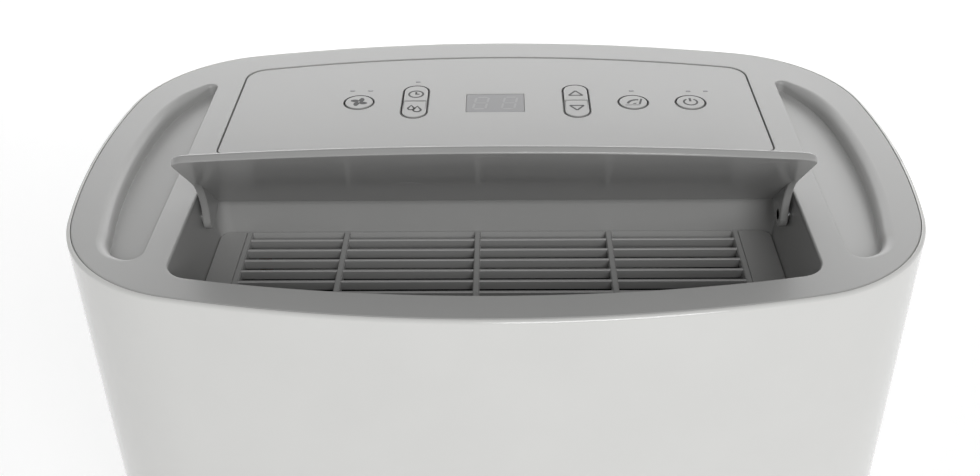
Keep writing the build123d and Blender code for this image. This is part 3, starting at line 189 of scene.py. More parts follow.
class GrilleSizes(bpy.types.PropertyGroup):
    """The outlet grille, in millimetres."""

    left: millimetres("Left", "Left end of the slats from the middle", 121.0)
    right: millimetres("Right", "Right end of the slats from the middle", 118.0)
    open_front: millimetres("Front", "Front of the open part", 92.0)
    open_back: millimetres("Back", "Back of the open part", 12.0)
    pitch: millimetres("Pitch", "From one slat to the next", 8.5)
    first: millimetres("First slat", "Rear edge of the first slat", 17.2)
    count: bpy.props.IntProperty(name="Slats", description="Number of slats", default=9, min=1)
    thick: millimetres("Slat thickness", "Thickness of a slat", 1.6)
    drop: millimetres("Slat height", "Height of a slat", 6.0)
    lean: millimetres("Slat lean", "How far a slat's foot stands back", 2.0)
    rib: millimetres("Rib", "Width of a rib", 3.0)
    plate: millimetres("Plate", "Thickness of the frame and ribs", 4.3)
    margin: millimetres("Margin", "Clearance of the plate inside the well", 2.3)


class FinishColours(bpy.types.PropertyGroup):
    """Colours of the visible mouldings."""

    shell: bpy.props.StringProperty(name="Shell", description="Gloss white of the shells, sRGB", default="#D0D0CE")
    deck: bpy.props.StringProperty(name="Deck", description="Satin grey of deck, panel and keys, sRGB",
                                   default="#A5A5A4")
    # The flap's grey is set darker than the deck's: painted shade for its underside.
    flap: bpy.props.StringProperty(name="Flap", description="Grey of the flap, sRGB", default="#9A9A99")
    grille: bpy.props.StringProperty(name="Grille", description="Grey of the outlet grille, sRGB", default="#AEAEAD")
    # The ink also colours the rings of painted shade round the key openings.
    ink: bpy.props.StringProperty(name="Ink", description="Printed signs on the keys, sRGB", default="#141416")


# ---- Mesh making ----------------------------------------------------------------------------------
def outline(arcs, step=5.0, turn=7.5):
    """Points and outward normals of a closed convex outline. Each arc (x, y, radius, start, end), in
    degrees and anticlockwise, is centre + radius (cos t, sin t); straight lines join one arc to the next."""
    points, normals = [], []
    for x, y, radius, start, end in arcs:
        count = int(max(2, np.ceil(radians(abs(end - start)) * radius / step), np.ceil(abs(end - start) / turn))) + 1
        angle = np.radians(np.linspace(start, end, count))
        normal = np.stack((np.cos(angle), np.sin(angle)), 1)
        points.append(np.array((x, y)) + radius * normal)
        normals.append(normal)
    return np.concatenate(points), np.concatenate(normals)


def rounding(radius, out, z, start, end, count=6):
    """Profile of a rounded edge: (out, z) + radius (cos t, sin t), t from start to end in degrees."""
    angle = np.radians(np.linspace(start, end, count))
    return np.stack((out + radius * np.cos(angle), z + radius * np.sin(angle)), 1)


class Moulding:
    """Gathers surfaces, in millimetres, and puts them into one mesh."""

    def __init__(self):
        self.points, self.faces, self.finish, self.count = [], [], [], 0

    def add_points(self, points):
        """Adds an array of points and returns the number of the first."""
        first = self.count
        self.points.append(np.asarray(points, float).reshape(-1, 3))
        self.count += len(self.points[-1])
        return first

    def add_faces(self, faces, finish=0):
        """Adds rows of corner numbers, all with the same finish."""
        self.faces.extend(faces.tolist() if hasattr(faces, "tolist") else faces)
        self.finish.extend([finish] * len(faces))

    def grid(self, points, around=False, finish=0):
        """A surface S(u, v) given on a grid: four-cornered faces between rows u and columns v."""
        rows, cols = points.shape[:2]
        first = self.add_points(points)
        u = np.arange(rows if around else rows - 1)[:, None]
        v = np.arange(cols - 1)[None, :]
        u_next = (u + 1) % rows
        corners = (u * cols + v, u_next * cols + v, u_next * cols + v + 1, u * cols + v + 1)
        self.add_faces(first + np.stack([c.ravel() for c in np.broadcast_arrays(*corners)], 1), finish)

    def carry(self, path, profile, around=True, finish=0):
        """A profile (out, z) carried along a plan path: S(u, v) = P(u) + out(v) N(u), at height z(v). The
        profile is a list of single points and of runs of points."""
        points, normals = path
        profile = np.vstack(profile)
        flat = points[:, None, :] + profile[None, :, 0, None] * normals[:, None, :]
        z = np.broadcast_to(profile[None, :, 1], flat.shape[:2])
        self.grid(np.concatenate((flat, z[..., None]), 2), around, finish)

    def sheet(self, loops, z, up=True, finish=0):
        """A flat face at height z, or with z one array per loop, inside the first loop and outside the rest."""
        heights = z if isinstance(z, (list, tuple)) else [np.full(len(loop), z) for loop in loops]
        solid = [np.column_stack((loop, height)) for loop, height in zip(loops, heights)]
        triangles = np.array(tessellate_polygon([[Vector((p[0], p[1], 0)) for p in loop] for loop in solid]))
        flat = np.concatenate(solid)
        a, b, c = (flat[triangles[:, i], :2] for i in range(3))
        ab, ac = b - a, c - a
        turn = ab[:, 0] * ac[:, 1] - ab[:, 1] * ac[:, 0]
        triangles = triangles[np.abs(turn) > 1e-9]
        turn = turn[np.abs(turn) > 1e-9]
        wrong = (turn < 0) if up else (turn > 0)
        triangles[wrong] = triangles[wrong][:, ::-1]
        self.add_faces(self.add_points(flat) + triangles, finish)

    def slab(self, loop, low, high, edge=0.0, finish=0):
        """A flat shape with upright sides: the outline, anticlockwise, between two heights, with both its
        edges cut back by edge along the normal (dy, -dx) of the way it runs."""
        loop = np.asarray(loop, float)
        if np.sum(loop[:, 0] * np.roll(loop[:, 1], -1) - loop[:, 1] * np.roll(loop[:, 0], -1)) < 0:
            loop = loop[::-1]
        along = np.roll(loop, -1, 0) - np.roll(loop, 1, 0)
        normals = np.stack((along[:, 1], -along[:, 0]), 1) / np.linalg.norm(along, axis=1)[:, None]
        cut = ((-edge, low), (0, low + edge), (0, high - edge), (-edge, high))
        self.carry((loop, normals), cut if edge else ((0, low), (0, high)), finish=finish)
        self.sheet([grown((loop, normals), -edge)], high, True, finish)
        self.sheet([grown((loop, normals), -edge)], low, False, finish)

    def stroke(self, line, width, low, high, closed=False, finish=0):
        """A drawn line: its points moved to each side by half the width, at right angles to the way it runs."""
        line = np.asarray(line, float)
        along = np.roll(line, -1, 0) - np.roll(line, 1, 0) if closed else np.gradient(line, axis=0)
        along /= np.linalg.norm(along, axis=1)[:, None]
        side = np.stack((-along[:, 1], along[:, 0]), 1) * np.broadcast_to(width, len(line))[:, None] / 2
        ring = [(-side, low), (-side, high), (side, high), (side, low)]
        points = np.stack([np.column_stack((line + move, np.full(len(line), z))) for move, z in ring], 1)
        points = np.concatenate((points, points[:, :1]), 1)
        self.grid(points, closed, finish)
        if not closed:
            for end, order in ((0, (0, 1, 2, 3)), (-1, (3, 2, 1, 0))):
                self.add_faces(self.add_points(points[end, :4]) + np.array([order]), finish)

    def take(self, other, turn):
        """Adds another moulding's surfaces after its points have been through turn."""
        first = self.add_points(turn(np.concatenate(other.points)))
        self.faces.extend([[first + corner for corner in face] for face in other.faces])
        self.finish.extend(other.finish)

    def build(self, name, node, *prints, skin=0.0):
        """Makes the piece that stands for a CAD node: in metres, with its seams merged. The first finish is
        the node's own, and prints names the others."""
        mesh = bpy.data.meshes.new(name)
        mesh.from_pydata(np.concatenate(self.points) * MM, [], self.faces)
        mesh.polygons.foreach_set("material_index", self.finish)
        work = bmesh.new()
        work.from_mesh(mesh)
        bmesh.ops.remove_doubles(work, verts=work.verts, dist=2e-6)
        bmesh.ops.dissolve_degenerate(work, edges=work.edges, dist=1e-6)
        work.to_mesh(mesh)
        work.free()
        return place(name, mesh, node, prints, 40.0, skin)


def place(name, mesh, node, prints=(), sharp=30.0, skin=0.0):
    """Puts a finished mesh into the scene in place of a CAD node, on the node's body and with its slot."""
    mesh.polygons.foreach_set("use_smooth", [True] * len(mesh.polygons))
    mesh.set_sharp_from_angle(angle=radians(sharp))
    piece = bpy.data.objects.new(name, mesh)
    bpy.context.scene.collection.objects.link(piece)
    for finish in (SLOT_OF[node], *prints):
        mesh.materials.append(FINISH[finish])
    if skin:
        wall = piece.modifiers.new("Wall", "SOLIDIFY")
        wall.thickness = skin * MM
        wall.offset = -1.0
    even = piece.modifiers.new("Even shading", "WEIGHTED_NORMAL")
    even.keep_sharp = True
    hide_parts(node)
    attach(piece, BODY_OF[node])
    return piece


def softened(node, edge):
    """A copy of a CAD node, its doubles merged and flat faces joined, with the edges sharper than 40 degrees
    rounded by edge mm."""
    source = frame["nodes"][node]
    work = bmesh.new()
    work.from_mesh(source.data)
    bmesh.ops.remove_doubles(work, verts=work.verts, dist=1e-6)
    bmesh.ops.dissolve_limit(work, angle_limit=radians(0.5), verts=work.verts, edges=work.edges)
    mesh = bpy.data.meshes.new(node + "_soft")
    work.to_mesh(mesh)
    work.free()
    piece = place(node + "_moulded", mesh, node)
    if edge:
        bevel = piece.modifiers.new("Edges", "BEVEL")
        bevel.width = edge * MM
        bevel.segments = 2
        bevel.limit_method = "ANGLE"
        bevel.angle_limit = radians(40.0)
        bevel.use_clamp_overlap = False
        piece.modifiers.move(1, 0)


# ---- Materials ------------------------------------------------------------------------------------
def linear(colour):
    """Linear RGBA of an sRGB hex colour."""
    channels = [int(colour[i:i + 2], 16) / 255 for i in (1, 3, 5)]
    return [c / 12.92 if c <= 0.04045 else ((c + 0.055) / 1.055) ** 2.4 for c in channels] + [1.0]


def add_node(tree, kind, inputs=None, links=None, feeds=None, **settings):
    """Adds one shader node with its settings, its unlinked values, its links and the sockets it feeds."""
    node = tree.nodes.new(kind)
    for name, value in settings.items():
        setattr(node, name, value)
    for socket, value in (inputs or {}).items():
        node.inputs[socket].default_value = value
    for socket, source in (links or {}).items():
        tree.links.new(source, node.inputs[socket])
    for socket, target in (feeds or {}).items():
        tree.links.new(node.outputs[socket], target)
    return node


def set_tones(ramp, low, dark, high, light):
    """Gives a ramp its two colours and their places."""
    for stop, place, colour in zip(ramp.color_ramp.elements, (low, high), (dark, light)):
        stop.position, stop.color = place, colour


def start_material(name, sockets):
    """A new material with one Principled shader; sockets are its own values."""
    material = bpy.data.materials.new(name)
    material.use_nodes = True
    tree = material.node_tree
    shader = next(node for node in tree.nodes if node.type == "BSDF_PRINCIPLED")
    for socket, value in sockets.items():
        shader.inputs[socket].default_value = value
    place_of = add_node(tree, "ShaderNodeTexCoord").outputs["Object"]
    return material, tree, shader, place_of


def shade_by(tree, shader, where, colour, grain_mm, spread, roughness, vary):
    """Colour and roughness that drift slowly over the surface, as pigment and mould wear do."""
    drift = add_node(tree, "ShaderNodeTexNoise", {"Scale": 1 / (grain_mm * MM), "Detail": 3.0}, {"Vector": where})
    base = np.array(linear(colour)[:3])
    ramp = add_node(tree, "ShaderNodeValToRGB", {}, {"Fac": drift.outputs["Fac"]},
                    {"Color": shader.inputs["Base Color"]})
    set_tones(ramp, 0.3, [*(base * (1 - spread)), 1.0], 0.7, [*np.minimum(base * (1 + spread), 1.0), 1.0])
    add_node(tree, "ShaderNodeMapRange", {"To Min": roughness - vary, "To Max": roughness + vary},
             {"Value": drift.outputs["Fac"]}, {"Result": shader.inputs["Roughness"]})


def moulded_plastic(name, colour, roughness, grain_mm, depth_mm, sockets):
    """Injection-moulded plastic: a fine mould texture grain_mm across and depth_mm deep."""
    material, tree, shader, where = start_material(name, {"IOR": 1.53, **sockets})
    shade_by(tree, shader, where, colour, 45.0, 0.012, roughness, 0.03)
    grain = add_node(tree, "ShaderNodeTexNoise", {"Scale": 1 / (grain_mm * MM), "Detail": 2.0}, {"Vector": where})
    add_node(tree, "ShaderNodeBump", {"Strength": 1.0, "Distance": depth_mm * MM},
             {"Height": grain.outputs["Fac"]}, {"Normal": shader.inputs["Normal"]})
    return material


def metal(name, colour, roughness, grain, depth_mm):
    """Bare metal with lines or mottling: grain is its size along X, Y and Z in mm."""
    material, tree, shader, where = start_material(name, {"Metallic": 1.0})
    shade_by(tree, shader, where, colour, 12.0, 0.06, roughness, 0.07)
    spread = add_node(tree, "ShaderNodeMapping", {"Scale": [1 / (size * MM) for size in grain]}, {"Vector": where})
    lines = add_node(tree, "ShaderNodeTexNoise", {"Scale": 1.0, "Detail": 2.0}, {"Vector": spread.outputs["Vector"]})
    add_node(tree, "ShaderNodeBump", {"Strength": 1.0, "Distance": depth_mm * MM},
             {"Height": lines.outputs["Fac"]}, {"Normal": shader.inputs["Normal"]})
    return material


def bead_foam(name, colour):
    """Expanded polystyrene: beads about 3 mm across, pressed together, with dark lines between them."""
    material, tree, shader, where = start_material(name, {"Roughness": 0.75, "IOR": 1.3})
    beads = add_node(tree, "ShaderNodeTexVoronoi", {"Scale": 1 / (3.0 * MM)}, {"Vector": where},
                     feature="DISTANCE_TO_EDGE")
    ramp = add_node(tree, "ShaderNodeValToRGB", {}, {"Fac": beads.outputs["Distance"]},
                    {"Color": shader.inputs["Base Color"]})
    set_tones(ramp, 0.0, [0.6 * c for c in linear(colour)[:3]] + [1.0], 0.12, linear(colour))
    add_node(tree, "ShaderNodeBump", {"Strength": 0.8, "Distance": 0.3 * MM},
             {"Height": beads.outputs["Distance"]}, {"Normal": shader.inputs["Normal"]})
    return material


def woven_filter(name, colour):
    """Polypropylene filter net: crossed threads 1.6 mm apart, which is as coarse as it needs to show."""
    material, tree, shader, where = start_material(name, {"Roughness": 0.55, "IOR": 1.49})
    waves = [add_node(tree, "ShaderNodeTexWave", {"Scale": 1 / (1.6 * MM) / 3.18, "Distortion": 0.0},
                      {"Vector": where}, wave_type="BANDS", bands_direction=axis).outputs["Fac"]
             for axis in ("X", "Z")]
    mesh = add_node(tree, "ShaderNodeMath", operation="MAXIMUM")
    tree.links.new(waves[0], mesh.inputs[0])
    tree.links.new(waves[1], mesh.inputs[1])
    ramp = add_node(tree, "ShaderNodeValToRGB", {}, {"Fac": mesh.outputs["Value"]},
                    {"Color": shader.inputs["Base Color"]})
    set_tones(ramp, 0.5, [0.25 * c for c in linear(colour)[:3]] + [1.0], 1.0, linear(colour))
    add_node(tree, "ShaderNodeBump", {"Strength": 1.0, "Distance": 0.25 * MM},
             {"Height": mesh.outputs["Value"]}, {"Normal": shader.inputs["Normal"]})
    return material


def finned_aluminium(name, colour):
    """Heat exchanger: aluminium fins 1.8 mm apart, seen edge on as upright lines."""
    material, tree, shader, where = start_material(name, {"Metallic": 0.9})
    shade_by(tree, shader, where, colour, 20.0, 0.04, 0.42, 0.05)
    fins = add_node(tree, "ShaderNodeTexWave", {"Scale": 1 / (1.8 * MM) / 3.18}, {"Vector": where},
                    wave_type="BANDS", bands_direction="X")
    add_node(tree, "ShaderNodeBump", {"Strength": 1.0, "Distance": 0.5 * MM},
             {"Height": fins.outputs["Fac"]}, {"Normal": shader.inputs["Normal"]})
    return material


FINISH = {}


# Slot, name, colour (or the user's colour it takes), roughness, grain across and depth in mm, other sockets.
PLASTICS = (
    # Gloss ABS, polished mould: crisp highlights and a faint orange peel 4 mm across.
    ("case_white", "gloss_white_ABS", "shell", 0.11, 4.0, 0.002, {"IOR": 1.54}),
    # The same ABS from a lightly blasted mould: the back's highlights spread more.
    ("case_white_satin", "satin_white_ABS", "shell", 0.34, 1.2, 0.004, {"IOR": 1.54}),
    # Grey ABS from a spark-eroded mould; its 0.1 mm grain is drawn 0.5 mm coarse so that it shows.
    ("deck_grey", "satin_grey_ABS", "deck", 0.36, 0.5, 0.0035, {}),
    ("key_grey", "satin_grey_key_ABS", "deck", 0.36, 0.5, 0.003, {}),
    ("grille_grey", "grille_grey_ABS", "grille", 0.38, 0.6, 0.004, {}),
    # The flap is polished inside and out, so it mirrors more than the deck. Its grey is set darker than the deck's,
    # as painted shade for its shaded underside.
    ("flap_grey", "polished_grey_ABS_painted_shade", "flap", 0.15, 2.5, 0.003, {}),
    # Polypropylene base with a coarse leather-like grain that hides sink marks.
    ("base_grey", "grained_grey_polypropylene", "#7E7E7D", 0.55, 1.0, 0.03, {"IOR": 1.49}),
    # Acrylic: a tinted sheet with a clear gloss top, and frosted lenses.
    ("window_smoke", "tinted_acrylic", "#6E6E70", 0.28, 3.0, 0.001, {"IOR": 1.49}),
    ("lens_clear", "frosted_acrylic_lens", "#98989A", 0.25, 0.4, 0.004, {"IOR": 1.49}),
    # Epoxy solder mask over copper.
    ("circuit_board", "green_solder_mask", "#1E5A34", 0.3, 1.5, 0.01, {}),
    ("black_plastic", "black_glass_filled_nylon", "#17171A", 0.48, 0.5, 0.01, {}),
    ("white_plastic", "natural_white_polypropylene", "#DEDEDA", 0.45, 0.9, 0.01, {"IOR": 1.49}),
    # Black enamel baked on the drawn steel can, with a light spray texture.
    ("painted_black", "black_baked_enamel", "#121214", 0.28, 1.4, 0.02,
     {"IOR": 1.52, "Coat Weight": 0.4, "Coat Roughness": 0.15}),
    ("rubber", "black_EPDM_rubber", "#1B1B1B", 0.75, 0.6, 0.02, {"IOR": 1.52}),
    # Styrene tank: smooth, pale, slightly milky.
    ("tank_grey", "milky_grey_styrene", "#C6C9CA", 0.26, 3.0, 0.006, {"IOR": 1.57}),
    # Nylon tread, rubbed by the floor.
    ("wheel_grey", "dark_grey_nylon", "#3E3E40", 0.5, 0.8, 0.03, {}),
    # Pad print is matt and a few hundredths of a millimetre thick; the same ink also paints dark rings of shade round
    # the key openings.
    ("ink", "dark_pad_print_and_gap_shade", "ink", 0.5, 0.4, 0.001, {}),
    ("digit", "unlit_digit_segment", "#868688", 0.35, 0.4, 0.001, {}),
)


def make_finishes(colours):
    """One material for each of the record's slots, named for the real one."""
    for slot, name, colour, roughness, grain_mm, depth_mm, sockets in PLASTICS:
        FINISH[slot] = moulded_plastic(name, getattr(colours, colour, colour), roughness, grain_mm, depth_mm, sockets)
    FINISH["steel"] = metal("zinc_plated_steel", "#A8A9AB", 0.32, (2.0, 2.0, 2.0), 0.01)
    FINISH["copper"] = metal("drawn_copper_tube", "#B87352", 0.3, (1.5, 1.5, 6.0), 0.01)
    FINISH["aluminium"] = finned_aluminium("pressed_aluminium_fins", "#C9CBCD")
    FINISH["foam_white"] = bead_foam("expanded_polystyrene", "#EFEFEC")
    FINISH["filter_mesh"] = woven_filter("black_polypropylene_net", "#26262A")


# ---- Outlines, in millimetres ---------------------------------------------------------------------
def case_arcs(case):
    """The plan's eight arcs, anticlockwise from the right side. A corner's centre is corner_bow short of
    the side arc and of the back arc, so it lies where two circles about their centres cross."""
    side_x, back_y = HALF_X - case.side_bow, HALF_Y - case.front_bow
    reach = sqrt(side_x**2 + back_y**2)
    to_back, to_side = case.front_bow - case.corner_bow, case.side_bow - case.corner_bow
    foot = (reach**2 + to_back**2 - to_side**2) / (2 * reach)
    rise = sqrt(to_back**2 - foot**2)
    x = (side_x * foot - back_y * rise) / reach
    y = back_y + (-back_y * foot - side_x * rise) / reach
    side, back = degrees(atan2(y, x - side_x)), degrees(atan2(y - back_y, x))
    half = [(side_x, 0, case.side_bow, -side, side), (x, y, case.corner_bow, side, back),
            (0, back_y, case.front_bow, back, 180 - back), (-x, y, case.corner_bow, 180 - back, 180 - side)]
    return half + [(-x, -y, radius, start + 180, end + 180) for x, y, radius, start, end in half]


def bowed_arcs(half, flat_y, flat_corner, bowed_y, bow, corner):
    """A rectangle with one bowed edge at bowed_y. Each bowed corner's centre is its radius in from the side
    and from the bow."""
    sign = 1 if bowed_y > flat_y else -1
    middle = bowed_y - sign * bow
    x = half - corner
    rise = sqrt((bow - corner) ** 2 - x**2)
    turn = degrees(atan2(rise, x))
    flat_x, flat = half - flat_corner, flat_y + sign * flat_corner
    if sign > 0:
        return [(x, middle + rise, corner, 0, turn), (0, middle, bow, turn, 180 - turn),
                (-x, middle + rise, corner, 180 - turn, 180),
                (-flat_x, flat, flat_corner, 180, 270), (flat_x, flat, flat_corner, 270, 360)]
    return [(flat_x, flat, flat_corner, 0, 90), (-flat_x, flat, flat_corner, 90, 180),
            (-x, middle - rise, corner, 180, 180 + turn), (0, middle, bow, 180 + turn, 360 - turn),
            (x, middle - rise, corner, 360 - turn, 360)]


def circle_through(a, b, c):
    """Centre and radius of the circle through three points."""
    (ax, ay), (bx, by), (cx, cy) = a, b, c
    twice = 2 * (ax * (by - cy) + bx * (cy - ay) + cx * (ay - by))
    x = ((ax**2 + ay**2) * (by - cy) + (bx**2 + by**2) * (cy - ay) + (cx**2 + cy**2) * (ay - by)) / twice
    y = ((ax**2 + ay**2) * (cx - bx) + (bx**2 + by**2) * (ax - cx) + (cx**2 + cy**2) * (bx - ax)) / twice
    return x, y, sqrt((ax - x) ** 2 + (ay - y) ** 2)


def pocket_arcs(pocket):
    """Right pocket: straight inner edge, outer edge in three arcs, rounded tip and heel."""
    reach, back, front = pocket.outer - pocket.inner, pocket.back, -pocket.front
    tip, foot = (pocket.inner, back), (pocket.inner, front)
    shoulder = (pocket.inner + 0.87 * reach, 0.47 * back)
    heel = (pocket.inner + 0.76 * reach, 0.75 * front)
    upper = circle_through(tip, (pocket.inner + 0.52 * reach, 0.79 * back), shoulder)
    middle = circle_through(shoulder, (pocket.outer, 0.1 * front), heel)
    lower = circle_through(heel, (pocket.inner + 0.44 * reach, 0.945 * front), foot)
    ends = []
    for (x, y, radius), small, sign in ((upper, pocket.tip, 1), (lower, pocket.heel, -1)):
        small_x = pocket.inner + small
        small_y = y + sign * sqrt((radius - small) ** 2 - (small_x - x) ** 2)
        ends.append((small_x, small_y, small, degrees(atan2(small_y - y, small_x - x))))

    def turn(centre, point):
        return degrees(atan2(point[1] - centre[1], point[0] - centre[0]))

    top, bottom = ends
    return [
        (*bottom[:3], 180, 360 + bottom[3]), (*lower, bottom[3], turn(lower, heel)),
        (*middle, turn(middle, heel), turn(middle, shoulder)), (*upper, turn(upper, shoulder), top[3]),
        (*top[:3], top[3], 180),
    ]


def mirrored(arcs):
    """The same outline on the other side of X = 0."""
    return [(-x, y, radius, 180 - end, 180 - start) for x, y, radius, start, end in arcs[::-1]]


def ring_arcs(x, y, radius):
    """A whole circle."""
    return [(x, y, radius, 0, 350)]


def slot_arcs(x, y, length, width, upright=True):
    """A slot with round ends."""
    reach = (length - width) / 2
    along, across, turn = (0, reach, 0) if upright else (reach, 0, -90)
    return [(x + along, y + across, width / 2, turn, turn + 180),
            (x - along, y - across, width / 2, turn + 180, turn + 360)]


def box_arcs(low, high, corner):
    """A rectangle with rounded corners."""
    (x0, y0), (x1, y1) = low, high
    return [(x1 - corner, y1 - corner, corner, 0, 90), (x0 + corner, y1 - corner, corner, 90, 180),
            (x0 + corner, y0 + corner, corner, 180, 270), (x1 - corner, y0 + corner, corner, 270, 360)]


def eased(path, passes=3):
    """The outline without its double points, each normal turned to the mean of itself and its neighbours'."""
    points, normals = path
    apart = np.linalg.norm(points - np.roll(points, 1, 0), axis=1) > 0.01
    points, normals = points[apart], normals[apart]
    for _ in range(passes):
        normals = normals + 0.5 * (np.roll(normals, 1, 0) + np.roll(normals, -1, 0))
        normals /= np.linalg.norm(normals, axis=1)[:, None]
    return points, normals


def grown(path, by):
    """The outline moved outwards: P + by N."""
    return path[0] + by * path[1]


# ---- Operators ------------------------------------------------------------------------------------
class DEHUMIDIFIER_OT_finishes(bpy.types.Operator):
    """Make the plastics, metals, foam and net, and give every CAD node its own"""

    bl_idname = "dehumidifier.finishes"
    bl_label = "Finishes"

    def execute(self, context):
        make_finishes(context.scene.finish_colours)
        for name, node in frame["nodes"].items():
            node.data.materials[0] = FINISH[SLOT_OF[name]]
        return {"FINISHED"}


class DEHUMIDIFIER_OT_front_shell(bpy.types.Operator):
    """Make the gloss front shell"""

    bl_idname = "dehumidifier.front_shell"
    bl_label = "Front shell"

    def execute(self, context):
        case = context.scene.case_sizes
        points, normals = outline(case_arcs(case), 4.0, 4.0)
        split = SHELL_HIGH[1]
        front = points[:, 1] < split
        start = int(np.argmax(front & ~np.roll(front, 1)))
        points, normals = np.roll(points, -start, 0), np.roll(normals, -start, 0)
        count = int(front.sum())
        points, normals = points[:count], normals[:count]
        middle, rise = case.side_bow - HALF_X, sqrt(case.side_bow**2 - split**2)
        left, right = np.array((-rise, split)) / case.side_bow, np.array((rise, split)) / case.side_bow
        points = np.vstack(((middle, 0) + case.side_bow * left, points, (-middle, 0) + case.side_bow * right))
        normals = np.vstack((left, normals, right))
        top, low, foot = DECK_Z, SHELL_LOW[2], 0.4
        profile = np.vstack((
            (-foot, low), (0.0, low + foot),
            rounding(case.rim_round, -case.rim_round, top - case.rim_round, 0, 90, 9),
            (-case.rim + 0.1, top), (-case.rim, top - 0.1), (-case.rim, top - case.rim_step),
            (-case.wall, top - case.rim_step), (-case.wall, low), (-foot, low),
        ))
        shell = Moulding()
        shell.carry((points, normals), profile, around=False)
        for end, order in ((0, -1), (-1, 1)):
            flat = points[end] + profile[:-1, :1] * normals[end]
            ring = shell.add_points(np.column_stack((flat, profile[:-1, 1])))
            shell.add_faces([[ring + i for i in range(len(profile) - 1)][::order]])
        shell.build("front_shell_gloss", "front_shell")
        return {"FINISHED"}


class DEHUMIDIFIER_OT_top_deck(bpy.types.Operator):
    """Make the deck with its outlet well, side pockets and panel recess"""

    bl_idname = "dehumidifier.top_deck"
    bl_label = "Top deck"

    def execute(self, context):
        scene = context.scene
        case, well, pocket, panel = scene.case_sizes, scene.outlet_sizes, scene.pocket_sizes, scene.panel_sizes
        top, deck = DECK_Z, Moulding()
        edge = outline(case_arcs(case), 4.0, 4.0)
        edge = (grown(edge, -case.rim - case.deck_seam), edge[1])
        land = 0.3
        deck.carry(edge, ((-0.6, top - 2.5), (0, top - 2.4),
                          rounding(case.deck_edge, -case.deck_edge, top - case.deck_edge, 0, 90, 5),
                          (-case.deck_edge - land, top)))
        mouth = outline(bowed_arcs(well.half, well.lip, 2.0, well.front, well.bow, well.corner), 4.0)
        under_lip, foot = top - well.lip_thick, top - well.depth
        deck.carry(mouth, ((well.edge + land, top), rounding(well.edge, well.edge, top - well.edge, 90, 180, 7),
                           (0, under_lip)))
        chamber = outline(bowed_arcs(well.half, well.back, well.back_corner, well.front, well.bow, well.corner), 4.0)
        floor_in = (foot - under_lip) * np.tan(well.draft)
        deck.carry(chamber, ((0, under_lip), (floor_in, foot), (floor_in + 0.01, foot - well.seat),
                             (floor_in - 6.0, foot - well.seat)))
        deck.sheet([chamber[0], mouth[0]], under_lip, up=False)
        slope = (pocket.deep - pocket.shallow) / (pocket.outer - pocket.inner)
        holes = [grown(mouth, well.edge + land)]
        for arcs in (pocket_arcs(pocket), mirrored(pocket_arcs(pocket))):
            rim = eased(outline(arcs, 3.0))
            share = np.clip((np.abs(rim[0][:, 0]) - pocket.inner) / pocket.blend, 0, 1)
            soft = (pocket.brink + (pocket.lip - pocket.brink) * share)[:, None]
            upper = rounding(1.0, 1.0, -1.0, 90, 180, 9)
            lower = rounding(pocket.base, -pocket.base, pocket.base, 0, -90, 4)
            out = np.hstack((soft + land, soft * upper[:, 0], np.broadcast_to(lower[:, 0], (len(soft), len(lower)))))
            flat = rim[0][:, None, :] + out[..., None] * rim[1][:, None, :]
            deep = top - pocket.shallow - slope * (np.abs(flat[..., -len(lower):, 0]) - pocket.inner)
            rise = np.hstack((np.full_like(soft, top), top + soft * upper[:, 1], deep + lower[:, 1]))
            deck.grid(np.concatenate((flat, rise[..., None]), 2), around=True)
            loop = grown(rim, -pocket.base)
            deck.sheet([loop], [top - pocket.shallow - slope * (np.abs(loop[:, 0]) - pocket.inner)])
            holes.append(grown(rim, soft + land))
        recess = outline(bowed_arcs(panel.half, panel.front, panel.front_corner, panel.back, panel.bow, panel.corner))
        bed = PANEL_TOP - panel.thick
        deck.carry(recess, ((panel.edge + 0.2, top), rounding(panel.edge, panel.edge, top - panel.edge, 90, 180, 5),
                            (0, bed), (-3.0, bed)))
        holes.append(grown(recess, panel.edge + 0.2))
        deck.sheet([grown(edge, -case.deck_edge - land), *holes], top)
        deck.build("top_deck_satin", "top_deck", skin=case.deck_skin)
        return {"FINISHED"}


